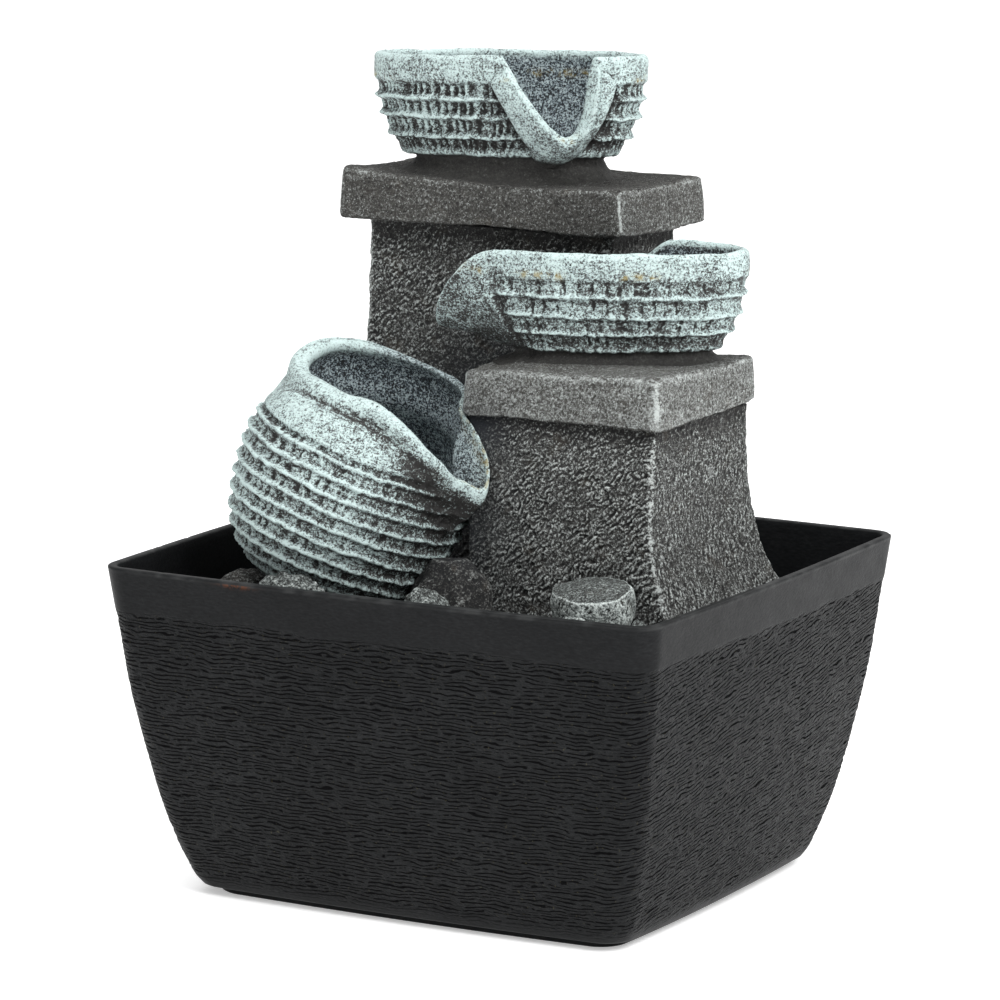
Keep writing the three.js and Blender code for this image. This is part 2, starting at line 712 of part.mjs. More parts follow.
function addSculpture(group) {
  node(group, "rock_base", rockBase(), STONE_DARK);
  node(group, "tall_pillar", cut(tallPillarShell(), rearWindow(0)), STONE);
  node(group, "tall_slab", cut(slab(TALL), tubeHole(TUBE.outer + GAP, 0, FAR)), STONE);
  node(group, "top_bowl", cut(bowl(TOP_BOWL), tubeHole(GROMMET.outer, 0, 236)), PATINA);
  node(group, "low_pillar", lowPillar(), STONE);
  node(group, "low_slab", cut(slab(LOW), pillarSpace(TALL, GAP)), STONE);
  node(group, "middle_bowl", cut(bowl(MIDDLE_BOWL), pillarSpace(TALL, GAP)), PATINA);
  node(group, "jug", jug(), PATINA);
  for (const entry of STONES) {
    const { name, shape, material } = stone(entry);
    node(group, name, shape, material);
  }
  const onAxis = (geometry) => geometry.translate(PUMP.x, PUMP.outletY, 0);
  node(group, "riser_tube", onAxis(ring(TUBE.inner, TUBE.outer, TUBE.low, TUBE.high)), CLEAR_VINYL);
  const grommet = ring(TUBE.outer + GAP, GROMMET.outer - GAP, GROMMET.low, GROMMET.high);
  node(group, "tube_grommet", onAxis(grommet), RUBBER);
  node(group, "outlet_nozzle", onAxis(outletNozzle()), PUMP_BLACK);
  const rear = new THREE.Group();
  node(rear, "back_cover", asSolid(tallPillarShell()).intersect(asSolid(rearWindow(GAP))), STONE);
  group.add(rear);
}

// ---- Assembly -----------------------------------------------------------------------------

const fountain = new THREE.Group();
const basin = new THREE.Group();
node(basin, "basin_tub", tub(), BLACK_PLASTIC);
addPump(basin);
const sculpture = new THREE.Group();
addSculpture(sculpture);
fountain.add(basin, sculpture);

export default fountain;
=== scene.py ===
"""The looks of a tabletop water fountain: a moulded tub, a cast stone sculpture with two bowls and a
jug on it, and the small pump under it. Shapes are worked out in millimetres and made in metres."""

import math
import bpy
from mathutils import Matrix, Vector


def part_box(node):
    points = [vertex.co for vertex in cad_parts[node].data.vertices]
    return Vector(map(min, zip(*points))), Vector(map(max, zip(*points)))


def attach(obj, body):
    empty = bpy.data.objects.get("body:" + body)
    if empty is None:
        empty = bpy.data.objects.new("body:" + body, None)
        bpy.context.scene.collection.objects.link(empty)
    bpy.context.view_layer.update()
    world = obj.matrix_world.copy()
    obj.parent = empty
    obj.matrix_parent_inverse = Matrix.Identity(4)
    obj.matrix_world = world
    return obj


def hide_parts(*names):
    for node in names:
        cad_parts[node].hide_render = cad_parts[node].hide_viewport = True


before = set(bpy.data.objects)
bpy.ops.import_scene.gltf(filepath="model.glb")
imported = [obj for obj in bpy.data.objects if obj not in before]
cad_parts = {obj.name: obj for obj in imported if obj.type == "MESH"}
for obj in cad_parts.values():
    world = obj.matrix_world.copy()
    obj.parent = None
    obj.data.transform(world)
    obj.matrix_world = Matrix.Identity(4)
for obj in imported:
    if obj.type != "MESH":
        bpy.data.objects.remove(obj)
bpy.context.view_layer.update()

from types import SimpleNamespace

import bpy
import numpy as np
from mathutils import Vector

MM = 0.001
TAU = 2 * math.pi

# ---- Sizes, in millimetres ----------------------------------------------------------------

TUB_HALF_X, TUB_HALF_Y, TUB_HEIGHT = np.array(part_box("basin_tub")[1]) / MM
TUB = {
    "height": TUB_HEIGHT,
    "narrower": TUB_HALF_X - TUB_HALF_Y,  # how much closer the front and rear walls are
    "wall": 3.0,
    "floor": 6.0,
    "bow": 1.6,
    "corner": 8.8,
    "plinth_half": 74.5,
    "plinth": 2.6,
    # half width at each share of the height
    "taper": [(0, 78.6), (0.03, 80.6), (0.08, 82.7), (0.2, 86.6),
              (0.4, 91.2), (0.6, 94.9), (0.8, 97.5), (1, 100)],
    "band": 14.5,  # smooth band under the rim
    "notch_half": 4.0,
    "notch_depth": 7.0,
}

TURN = math.radians(-4)  # the sculpture stands slightly turned in the tub
BASE_TOP = 93.0

TALL = {
    "centre": (-18.0, 43.0),
    "top": 207.9,
    # how far each face stands from the centre at the top and at the foot, and how late it leans out
    "right": (46.8, 55.8, 2.0),
    "left": (46.8, 55.8, 2.0),
    "front": (20.5, 29.5, 2.0),
    "rear": (20.5, 27.5, 2.0),
    "corner": 3.0,
    "wall": 5.0,
}
LOW = {
    "centre": (36.5, 4.0),
    "top": 157.2,
    "right": (34.6, 46.4, 3.6),
    "left": (36.0, 30.6, 1.0),
    "front": (28.3, 36.2, 0.5),
    "rear": (26.5, 37.5, 2.4),
    "corner": 1.8,
    "wall": 5.0,
}
WINDOW = {"x": (-49.0, 11.0), "z": (113.0, 196.0)}  # in the tall pillar's rear wall

# A slab's dents are (across, along, radius, lift of its top edge, lift of its bottom edge) from its
# middle.
TALL_SLAB = {
    "centre": (-17.8, 43.0),
    "half": (53.6, 25.9),
    "z": (208.0, 223.4),
    "corner": 2.6,
    "paleness": -0.02,
    # the next number is painted light: how much paler the sides that face right are drawn
    "right_side_light": 0.08,
    "dents": [(-54, -26, 16, 1.3, -0.5), (54, -26, 12, 1.1, 0.5),
              (54, 26, 14, 0.2, 0.2), (10, -26, 14, -0.4, 0.3)],
}
LOW_SLAB = {
    "centre": (36.3, 2.4),
    "half": (36.0, 29.9),
    "z": (156.4, 172.2),
    "corner": 3.0,
    "paleness": 0.19,
    "right_side_light": 0.0,
    "dents": [(-38, -28, 17, -2.6, -1.8), (-6, -30, 17, -0.9, -0.9),
              (38, -28, 16, 1.0, -0.5), (38, 28, 14, 0.6, 1.4)],
}

# A bowl's profile gives its size, as a share of its rim, at each height, and its lips are the heights of
# the ridges under the smooth band. Its spout is at an angle about the bowl's middle. half is how far it
# runs along the rim to either side, drop its depth, reach how far it stands out (in one direction if
# along), fall and steep how pointed it is and how late its far side falls. A rolled edge as wide as rope
# stands proud of the wall around it, and roll is half the edge's thickness. sink is how far the rim drops
# where it runs into the pillar. The last two numbers are painted shade: how dark the spout's outside and the
# bowl's inside are drawn.
TOP_BOWL = {
    "centre": (-22.2, 43.0),
    "turn": 0.0,
    "rim": (47.5, 25.5),
    "squareness": 2.3,
    "tilt": (0.028, -0.05),
    "low": 221.9,
    "floor": 231.0,
    "high": 262.3,
    "band": 253.9,
    "lips": (248.2, 242.2, 235.8, 230.6),
    "profile": [(221.9, 0.95), (223.4, 0.82), (225.0, 0.745), (227.0, 0.705), (229.0, 0.70), (230.6, 0.79),
                (235.6, 0.885), (241.9, 0.95), (247.9, 0.985), (253.4, 1.0), (262.0, 1.0)],
    "channel": 2.0,
    "pad_pitch": 3.6,
    "pad_share": 0.5,
    "murk": 0.55,
    "spout": {"at": math.radians(-51), "half": (21.5, 10.5), "drop": 25.5, "reach": 7.0, "along": False,
              "fall": 1.0, "steep": 2.5, "rope": 7.2, "proud": 1.9, "roll": 2.4, "sink": 0.0,
              "spout_shade": 0.0, "inside_shade": 0.0},
}
MIDDLE_BOWL = {
    "centre": (36.0, 8.0),
    "turn": math.radians(23),
    "rim": (41.5, 19.5),
    "squareness": 2.3,
    "tilt": (0.0, 0.0),
    "low": 170.4,
    "floor": 179.5,
    "high": 207.2,
    "band": 199.2,
    "lips": (193.4, 187.1, 181.6, 176.4),
    "profile": [(170.4, 0.95), (171.9, 0.82), (173.3, 0.75), (175.0, 0.73), (176.4, 0.79), (181.6, 0.885),
                (187.1, 0.95), (193.4, 0.985), (199.2, 1.0), (208.0, 1.0)],
    "channel": 1.5,
    "pad_pitch": 5.6,
    "pad_share": 0.92,
    "murk": 0.85,
    "spout": {"at": math.pi, "half": (17.0, 17.0), "drop": 24.0, "reach": 20.0, "along": True,
              "fall": 2.3, "steep": 1.7, "rope": 2.0, "proud": 0.3, "roll": 1.4, "sink": 6.5,
              "spout_shade": 0.32, "inside_shade": 1.2},
}

JUG = {
    "centre": np.array([-37.5, -31.0, 132.0]),
    "radius": 38.3,
    "axis": np.array([0.334, 0.153, 0.930]),
    # the mouth's edge: turn about the axis and height above its equator in degrees, distance in mm
    "mouth": [(-165, 43, 43.0), (-150, 43.5, 39.6), (-126, 48, 37.2), (-96, 50, 37.2), (-62, 48, 40.6),
              (-44, 41.5, 41.4), (-24, 31.0, 42.0), (-9, 23.3, 43.6), (-2, 22.3, 49.4), (0.5, 29, 48.8),
              (2.5, 37, 47.2), (4.5, 44.7, 45.4), (7, 52, 43.6), (14, 57, 43.4), (30, 60, 44.8),
              (50, 62, 45.0), (80, 63, 44.5), (105, 62, 44.5), (130, 58.5, 45.5), (146, 55, 46.6),
              (170, 48, 47.2)],
    # the lip's half thickness at each turn: thin on the far side and at the pouring tip
    "lip": [(-180, 2.3), (-140, 2.5), (-90, 2.5), (-50, 1.9), (-25, 1.15), (-6, 0.7), (2, 0.5),
            (20, 0.5), (60, 0.5), (110, 0.7), (150, 1.7), (180, 2.3)],
    "wall": 4.0,
    "first_lip": 16.5,  # degrees above the equator
    "lip_pitch": 7.8,
}

# ---- Noise --------------------------------------------------------------------------------


def lattice(x, y, z, seed):
    """A scrambled 32-bit number for each whole-numbered lattice point."""
    h = x.astype(np.uint32) * np.uint32(374761393)
    h += y.astype(np.uint32) * np.uint32(668265263)
    h += z.astype(np.uint32) * np.uint32(2246822519)
    h += np.uint32((seed * 3266489917) & 0xFFFFFFFF)
    for shift, factor in ((15, 2246822519), (13, 3266489917)):
        h ^= h >> np.uint32(shift)
        h *= np.uint32(factor)
    return h ^ (h >> np.uint32(16))


def split(h):
    """Three numbers from 0 to 1 out of one scrambled number."""
    mask = np.uint32(1023)
    return [((h >> np.uint32(bits)) & mask) / 1023.0 for bits in (0, 10, 20)]


def noise(p, size, seed=0):
    """Smooth noise of about -1 to 1 at points p; size is its grain in mm, one number or three."""
    q = p / np.asarray(size, float)
    cell = np.floor(q).astype(np.int64)
    f = q - cell
    w = f * f * f * (f * (f * 6 - 15) + 10)
    total = np.zeros(p.shape[:-1])
    for corner in np.ndindex(2, 2, 2):
        h = lattice(cell[..., 0] + corner[0], cell[..., 1] + corner[1], cell[..., 2] + corner[2], seed)
        share = np.ones_like(total)
        slope = np.zeros_like(total)
        for k, random in enumerate(split(h)):
            slope += (random * 2 - 1) * (f[..., k] - corner[k])
            share *= w[..., k] if corner[k] else 1 - w[..., k]
        total += slope * share
    return total * 1.6


def layered(p, size, octaves, seed=0):
    """Noise summed over octaves, each with half the grain and half the height of the last."""
    total = 0
    for k in range(octaves):
        total = total + noise(p, np.asarray(size, float) / 2 ** k, seed + 17 * k) * 0.5 ** k
    return total


def ridged(p, size, seed=0):
    """Noise folded into creases that run along lines: 1 on a crest."""
    return 1 - 2 * np.abs(noise(p, size, seed))


def chips(p, size, seed=0):
    """Distance to the nearest and to the second nearest of scattered points."""
    q = p / np.asarray(size, float)
    cell = np.floor(q).astype(np.int64)
    nearest = np.full(p.shape[:-1], 9.0)
    second = nearest.copy()
    for step in np.ndindex(3, 3, 3):
        at = [cell[..., k] + step[k] - 1 for k in range(3)]
        random = split(lattice(*at, seed))
        distance = sum((at[k] + random[k] - q[..., k]) ** 2 for k in range(3))
        second = np.minimum(second, np.maximum(nearest, distance))
        nearest = np.minimum(nearest, distance)
    return np.sqrt(nearest), np.sqrt(second)


def smoothstep(low, high, value):
    """0 at low and 1 at high, with soft ends; low may be the greater."""
    t = np.clip((value - low) / (high - low), 0, 1)
    return t * t * (3 - 2 * t)


def curve(points, t):
    """A smooth line through (position, value) points, whose slopes come from their neighbours."""
    x, y = np.array(points, float).T
    slope = np.gradient(y, x)
    k = np.clip(np.searchsorted(x, t) - 1, 0, len(x) - 2)
    h = x[k + 1] - x[k]
    u = np.clip((t - x[k]) / h, 0, 1)
    ends = (2 * u ** 3 - 3 * u ** 2 + 1) * y[k] + (3 * u ** 2 - 2 * u ** 3) * y[k + 1]
    return ends + ((u ** 3 - 2 * u ** 2 + u) * slope[k] + (u ** 3 - u ** 2) * slope[k + 1]) * h


# ---- Meshes -------------------------------------------------------------------------------


def linked(name, data):
    """A new object in the scene that shows the given data."""
    made = bpy.data.objects.new(name, data)
    bpy.context.scene.collection.objects.link(made)
    return made


def plain_mesh(name, points, faces):
    """A mesh from points in mm."""
    mesh = bpy.data.meshes.new(name)
    mesh.from_pydata((np.array(points, float) * MM).tolist(), [], faces)
    return mesh


def store_layers(mesh, layers):
    """Keeps per-point numbers in the mesh, where the materials read them by name."""
    for layer, values in layers.items():
        attribute = mesh.attributes.new(layer, "FLOAT", "POINT")
        attribute.data.foreach_set("value", np.asarray(values, np.float32).ravel())


def make_piece(name, points, faces, body, material, layers):
    """A smooth-shaded mesh object from points in mm, riding on a body."""
    mesh = plain_mesh(name, points, faces)
    store_layers(mesh, layers)
    mesh.shade_smooth()
    mesh.materials.append(material)
    piece = linked(name, mesh)
    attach(piece, body)
    return piece


def sewn_faces(rows, columns, looped=False):
    """Quads between rows of points that run around a piece; open ends are closed by fans."""
    r, c = np.meshgrid(np.arange(rows if looped else rows - 1), np.arange(columns), indexing="ij")
    above = (r + 1) % rows
    right = (c + 1) % columns
    quads = np.stack([r * columns + c, r * columns + right, above * columns + right, above * columns + c], -1)
    faces = quads.reshape(-1, 4).tolist()
    if not looped:
        first = rows * columns
        last = (rows - 1) * columns
        for i in range(columns):
            j = (i + 1) % columns
            faces.append([first, j, i])
            faces.append([first + 1, last + i, last + j])
    return faces


def with_ends(grid, looped=False):
    """The grid's points, with the middle of its first and last row after them."""
    flat = grid.reshape(-1, grid.shape[-1])
    if looped:
        return flat
    return np.concatenate([flat, grid[:1].mean(1), grid[-1:].mean(1)])


def skin(name, grid, body, material, layers, looped=False):
    """A closed piece from a grid of points, rows upwards on its outside and columns around it."""
    layers = {k: with_ends(v[..., None], looped).ravel() for k, v in layers.items()}
    faces = sewn_faces(grid.shape[0], grid.shape[1], looped)
    return make_piece(name, with_ends(grid, looped), faces, body, material, layers)


def outward(grid):
    """The unit normal at each point of a grid."""
    around = np.roll(grid, -1, 1) - np.roll(grid, 1, 1)
    up = np.gradient(grid, axis=0)
    n = np.cross(around, up)
    return n / np.maximum(np.linalg.norm(n, axis=-1, keepdims=True), 1e-9)


def relaxed(grid, rounds):
    """The grid after so many rounds of moving each point towards its neighbours."""
    for _ in range(rounds):
        below = np.concatenate([grid[:1], grid[:-1]])
        above = np.concatenate([grid[1:], grid[-1:]])
        grid = 0.5 * grid + 0.125 * (np.roll(grid, 1, 1) + np.roll(grid, -1, 1) + below + above)
    return grid


def raised(grid, rounds):
    """How far each point stands above its surroundings, in mm."""
    rest = relaxed(grid, rounds)
    return np.sum((grid - rest) * outward(rest), -1)


def box_outline(half_x, half_y, radius, bow, side, corner):
    """Points of a round-cornered rectangle with bowed sides, counter-clockwise from its right side."""
    parts = []
    for k in range(4):
        reach, along = (half_y, half_x) if k % 2 else (half_x, half_y)
        straight = along - bow - radius
        t = np.linspace(-1, 1, side[k % 2], endpoint=False)
        a = np.arange(corner) / corner * math.pi / 2
        x = np.concatenate([reach - bow * t ** 2, reach - bow - radius * (1 - np.cos(a))])
        y = np.concatenate([straight * t, straight + radius * np.sin(a)])
        c, s = round(math.cos(k * math.pi / 2)), round(math.sin(k * math.pi / 2))
        parts.append(np.stack([x * c - y * s, x * s + y * c], -1))
    return np.concatenate(parts)


def rotated(xy, angle):
    """Plan points turned counter-clockwise about the origin."""
    c, s = math.cos(angle), math.sin(angle)
    return np.stack([xy[..., 0] * c - xy[..., 1] * s, xy[..., 0] * s + xy[..., 1] * c], -1)


def at_height(xy, z):
    """Plan points with a height, one for all or one for each."""
    return np.concatenate([xy, np.broadcast_to(np.asarray(z, float), xy.shape[:-1])[..., None]], -1)


def block(name, low, high):
    """A plain box that only serves to cut with."""
    points = [[(low, high)[(i >> k) & 1][k] for k in range(3)] for i in range(8)]
    faces = [[0, 2, 3, 1], [4, 5, 7, 6], [0, 1, 5, 4], [2, 6, 7, 3], [0, 4, 6, 2], [1, 3, 7, 5]]
    return linked(name, plain_mesh(name, points, faces))


def cut(piece, cutter, operation="DIFFERENCE"):
    """Cuts a piece by a cutter, which is then gone."""
    modifier = piece.modifiers.new("cut", "BOOLEAN")
    modifier.operation = operation
    modifier.solver = "EXACT"
    modifier.object = cutter
    apply_modifiers(piece)
    bpy.data.objects.remove(cutter)
    piece.data.shade_smooth()


def apply_modifiers(piece):
    """Puts the modified mesh in place of the piece's own."""
    bpy.context.view_layer.update()
    depsgraph = bpy.context.evaluated_depsgraph_get()
    mesh = bpy.data.meshes.new_from_object(piece.evaluated_get(depsgraph), depsgraph=depsgraph)
    piece.modifiers.clear()
    piece.data = mesh


# ---- Materials ----------------------------------------------------------------------------


def srgb(*channels):
    """A screen colour of 0 to 255 as linear values."""
    parts = [c / 255 for c in channels]
    return tuple(c / 12.92 if c <= 0.04045 else ((c + 0.055) / 1.055) ** 2.4 for c in parts) + (1.0,)


class Look:
    """A node material being built."""

    def __init__(self, name, roughness=0.6, **shader):
        self.material = bpy.data.materials.new(name)
        self.material.use_nodes = True
        self.tree = self.material.node_tree
        self.shader = self.tree.nodes["Principled BSDF"]
        self.shader.inputs["Roughness"].default_value = roughness
        for socket, value in shader.items():
            self.shader.inputs[socket.replace("_", " ")].default_value = value
        coordinates = self.tree.nodes.new("ShaderNodeTexCoord")
        self.place = coordinates.outputs["Object"]

    def node(self, kind, **settings):
        made = self.tree.nodes.new("ShaderNode" + kind)
        for name, value in settings.items():
            setattr(made, name, value)
        return made

    def feed(self, socket, value):
        if isinstance(value, bpy.types.NodeSocket):
            self.tree.links.new(value, socket)
        else:
            socket.default_value = value

    def maths(self, operation, a, b=0.0, clamp=False):
        made = self.node("Math", operation=operation, use_clamp=clamp)
        self.feed(made.inputs[0], a)
        self.feed(made.inputs[1], b)
        return made.outputs[0]

    def times(self, a, b):
        return self.maths("MULTIPLY", a, b)

    def sum(self, *terms):
        """Adds up (value, factor) pairs and plain values."""
        total = None
        for term in terms:
            value = self.times(*term) if isinstance(term, tuple) else term
            total = value if total is None else self.maths("ADD", total, value)
        return total

    def swing(self, *terms):
        """Adds up (noise, factor) pairs about the noises' middle, 0.5."""
        return self.sum(*terms, -0.5 * sum(factor for _, factor in terms))

    def stretched(self, stretch, rise=0.0):
        """The place, packed closer by stretch along each axis, after a turn by rise about X."""
        mapping = self.node("Mapping", vector_type="TEXTURE")
        self.feed(mapping.inputs["Vector"], self.place)
        mapping.inputs["Rotation"].default_value = (rise, 0.0, 0.0)
        mapping.inputs["Scale"].default_value = [1 / k for k in stretch]
        return mapping.outputs[0]

    def grain(self, size, detail=3.0, rough=0.6, stretch=None, warp=0.0, rise=0.0):
        """Noise from 0 to 1 with a grain of about size mm."""
        made = self.node("TexNoise")
        self.feed(made.inputs["Vector"], self.stretched(stretch, rise) if stretch else self.place)
        made.inputs["Scale"].default_value = 1 / (size * MM)
        made.inputs["Detail"].default_value = detail
        made.inputs["Roughness"].default_value = rough
        made.inputs["Distortion"].default_value = warp
        return made.outputs["Fac"]

    def dots(self, spacing, radius, share):
        """1 inside scattered round pits, at a share of the points of a loose grid."""
        made = self.node("TexVoronoi")
        self.feed(made.inputs["Vector"], self.place)
        made.inputs["Scale"].default_value = 1 / (spacing * MM)
        limit = radius / spacing
        inside = self.span(made.outputs["Distance"], limit, limit * 0.55)
        chosen = self.node("SeparateColor")
        self.feed(chosen.inputs[0], made.outputs["Color"])
        return self.times(inside, self.maths("LESS_THAN", chosen.outputs[0], share))

    def lines(self, size, width, stretch=None, warp=0.0, rise=0.0):
        """1 on winding lines, about size mm apart."""
        field = self.grain(size, 2, 0.5, stretch, warp, rise)
        return self.span(self.maths("ABSOLUTE", self.maths("SUBTRACT", field, 0.5)), width, width * 0.2)

    def furrows(self, period, bend, stretch, rise):
        """1 in winding furrows, one every period mm, that rise towards the back."""
        made = self.node("TexWave", wave_type="BANDS", bands_direction="Z", wave_profile="SIN")
        self.feed(made.inputs["Vector"], self.stretched(stretch, rise))
        made.inputs["Scale"].default_value = math.pi / (10 * period * MM)
        made.inputs["Distortion"].default_value = bend
        made.inputs["Detail"].default_value = 2.0
        made.inputs["Detail Scale"].default_value = 1.0
        return self.span(made.outputs["Fac"], 0.36, 0.1)

    def layer(self, name):
        made = self.node("Attribute", attribute_name=name)
        return made.outputs["Fac"]

    def span(self, value, low, high):
        """0 at low and 1 at high, with soft ends."""
        made = self.node("MapRange", interpolation_type="SMOOTHSTEP")
        self.feed(made.inputs["Value"], value)
        made.inputs["From Min"].default_value = low
        made.inputs["From Max"].default_value = high
        return made.outputs["Result"]

    def mix(self, share, a, b):
        made = self.node("Mix", data_type="RGBA")
        self.feed(made.inputs["Factor"], share)
        self.feed(made.inputs["A"], a)
        self.feed(made.inputs["B"], b)
        return made.outputs["Result"]

    def ramp(self, share, stops):
        made = self.node("ValToRGB")
        self.feed(made.inputs["Fac"], share)
        elements = made.color_ramp.elements
        while len(elements) < len(stops):
            elements.new(0.5)
        for element, (position, colour) in zip(elements, stops):
            element.position = position
            element.color = colour
        return made.outputs["Color"]

    def finish(self, colour, roughness=None, height=None, depth=0.2):
        """Sets the colour, and optionally a roughness and a bump whose height of 1 is depth in mm."""
        self.feed(self.shader.inputs["Base Color"], colour)
        if roughness is not None:
            self.feed(self.shader.inputs["Roughness"], roughness)
        if height is not None:
            bump = self.node("Bump")
            bump.inputs["Strength"].default_value = 1.0
            bump.inputs["Distance"].default_value = depth * MM
            self.feed(bump.inputs["Height"], height)
            self.feed(self.shader.inputs["Normal"], bump.outputs["Normal"])
        return self.material


def tub_look():
    """Moulded charcoal plastic: winding horizontal creases below the smooth band, with painted shade in the
    creases and a painted highlight along the rim.
    """
    look = Look("tub_plastic", roughness=0.5, Specular_IOR_Level=0.08)
    bark = look.sum((look.layer("band"), -1.0), 1.0)
    crease = look.furrows(1.3, 9.0, (0.40, 0.40, 1.0), 0.17)
    crease = look.times(crease, look.span(look.grain(2.2, 2, stretch=(0.6, 0.6, 1.0)), 0.37, 0.5))
    crease = look.times(crease, bark)
    share = look.sum((look.layer("relief"), 0.35), look.swing(
        (look.grain(0.8, 2, 0.6, stretch=(0.4, 0.4, 1.3)), 0.9), (look.grain(38, 2), 0.4)), 0.2)
    colour = look.ramp(share, [(0.1, srgb(13, 14, 15)), (0.45, srgb(24, 25, 26)), (0.9, srgb(38, 39, 40))])
    # painted shade: the creases are drawn near black, for the shade that falls in them
    colour = look.mix(look.times(crease, 0.9), colour, srgb(2, 2, 3))
    fleck = look.times(look.span(look.grain(0.9, 2, 0.6), 0.66, 0.74), bark)
    colour = look.mix(look.times(fleck, 0.5), colour, srgb(74, 70, 52))
    # painted highlight: the top of the rim is drawn lighter grey, where light falls on it
    colour = look.mix(look.layer("edge"), colour, srgb(66, 67, 67))
    rust = look.times(look.layer("rust"), look.span(look.grain(1.6, 3), 0.38, 0.6))
    colour = look.mix(look.times(rust, 0.8), colour, srgb(104, 56, 24))
    rough = look.sum(look.swing((look.grain(6, 3), 0.2)), (crease, 0.6), 0.43)
    fine = look.swing((look.grain(0.9, 3, 0.65, stretch=(0.6, 0.6, 1.1), rise=0.22), 1.1))
    height = look.sum((look.times(fine, look.sum((look.layer("band"), -0.8), 1.0)), 1.0), (crease, -1.3))
    return look.finish(colour, rough, height, 0.5)


def stone_look(name, dark, middle, light, tint, grit=2.9, glitter=0.0):
    """Cast stone: dark in its hollows, dry-brushed pale on whatever stands up, and dark and bluish with
    painted shade in the recesses round the jug. The more grit, the stronger its speckles, and glitter adds a
    few fine pale ones."""
    look = Look(name, roughness=0.8, Specular_IOR_Level=0.35)
    speck = look.grain(0.7, 2, 0.8)
    brush = look.grain(1.3, 3, 0.7, stretch=(0.55, 0.55, 1.2), warp=0.8)
    crumb = look.lines(1.9, 0.045, (0.7, 0.7, 1.3), 1.2)
    crumb = look.times(crumb, look.span(look.grain(2.6, 2), 0.42, 0.6))
    sparks = look.span(look.grain(0.5, 2, 0.8), 0.58, 0.72)
    share = look.sum(
        (sparks, glitter), (look.layer("fine"), 0.1 * grit), (look.layer("broad"), 0.03),
        (look.layer("edge"), 0.5), (crumb, 0.1 * grit), look.layer("pale"),
        look.swing((speck, grit), (brush, 0.5), (look.grain(14, 3, 0.55), 0.2)), 0.34,
    )
    brushed = colour_between(middle, light, 0.42)
    colour = look.ramp(share, [(0.05, dark), (0.45, middle), (0.72, brushed), (1.0, light)])
    uneven = look.sum(look.swing((look.grain(5, 3), 0.8)), 0.85)
    # painted shade: dark and bluish in the recesses round the jug
    recess_shade = look.maths("MULTIPLY", look.layer("recess_shade"), uneven, clamp=True)
    shaded_tint = look.mix(look.span(share, 0.5, 1.0), tint, middle)
    colour = look.mix(recess_shade, colour, shaded_tint)
    warm = look.span(look.grain(9, 3, 0.6, warp=0.4), 0.56, 0.78)
    colour = look.mix(look.times(warm, 0.16), colour, srgb(96, 84, 66))
    scratch = look.lines(11, 0.006, (1.0, 1.0, 0.5), 0.5)
    scratch = look.times(scratch, look.span(look.grain(7, 2), 0.55, 0.62))
    colour = look.mix(look.times(scratch, 0.3), colour, light)
    holes = look.dots(5.0, 0.3, 0.2)
    colour = look.mix(holes, colour, srgb(14, 14, 14))
    height = look.sum(look.swing((look.grain(0.7, 4, 0.75), 1.4), (look.grain(2.2, 3, 0.6), 0.8)),
                      (crumb, 0.35), (holes, -1.0))
    return look.finish(colour, look.sum(look.swing((speck, 0.4)), 0.78), height, 0.42)


def colour_between(a, b, share):
    return tuple(x * (1 - share) + y * share for x, y in zip(a, b))


def patina_look():
    """Bowls and jug: chalky blue-green over brown-grey, with black pits and ochre stains."""
    look = Look("patina_resin", roughness=0.7, Specular_IOR_Level=0.4)
    speck = look.grain(0.66, 2, 0.85)
    wipe = look.grain(1.7, 4, 0.72, stretch=(0.6, 0.6, 1.2), warp=0.9)
    crack = look.lines(2.1, 0.035, (0.7, 0.7, 1.3), 1.4)
    crack = look.times(crack, look.span(look.grain(3.4, 2), 0.44, 0.6))
    cover = look.sum((look.layer("paint"), 1.0), look.swing((speck, 3.3), (wipe, 1.7)), (crack, -0.5), 0.1)
    colour = look.ramp(cover, [
        (0.02, srgb(30, 29, 28)), (0.28, srgb(74, 75, 73)), (0.50, srgb(122, 133, 133)),
        (0.72, srgb(162, 180, 179)), (1.0, srgb(190, 208, 206)),
    ])
    inside = look.ramp(
        look.sum(look.swing((speck, 5.6), (wipe, 2.8)), (crack, 0.2), (look.layer("paint"), 0.25), 0.37),
        [(0.1, srgb(28, 30, 32)), (0.45, srgb(70, 80, 88)),
         (0.72, srgb(126, 140, 146)), (1.0, srgb(182, 196, 198))],
    )
    colour = look.mix(look.layer("inside"), colour, inside)
    foot = look.ramp(look.sum(look.swing((speck, 2.0), (wipe, 1.0)), 0.27),
                     [(0.1, srgb(30, 29, 28)), (0.6, srgb(56, 56, 53)), (1.0, srgb(120, 124, 122))])
    colour = look.mix(look.layer("foot"), colour, foot)
    stain = look.times(look.layer("stain"), look.span(look.grain(2.2, 3), 0.42, 0.6))
    colour = look.mix(look.times(stain, 0.7), colour, srgb(142, 122, 52))
    pits = look.maths("MAXIMUM", look.dots(4.4, 0.40, 0.30), look.dots(2.6, 0.22, 0.22))
    pits = look.times(pits, look.sum((look.layer("inside"), -1.0), 1.0))
    colour = look.mix(pits, colour, srgb(12, 11, 11))
    height = look.sum(look.swing((look.grain(0.7, 4, 0.75), 1.3), (look.grain(2.4, 3), 0.7)), (pits, -1.6))
    return look.finish(colour, look.sum(look.swing((speck, 0.4)), 0.66), height, 0.3)


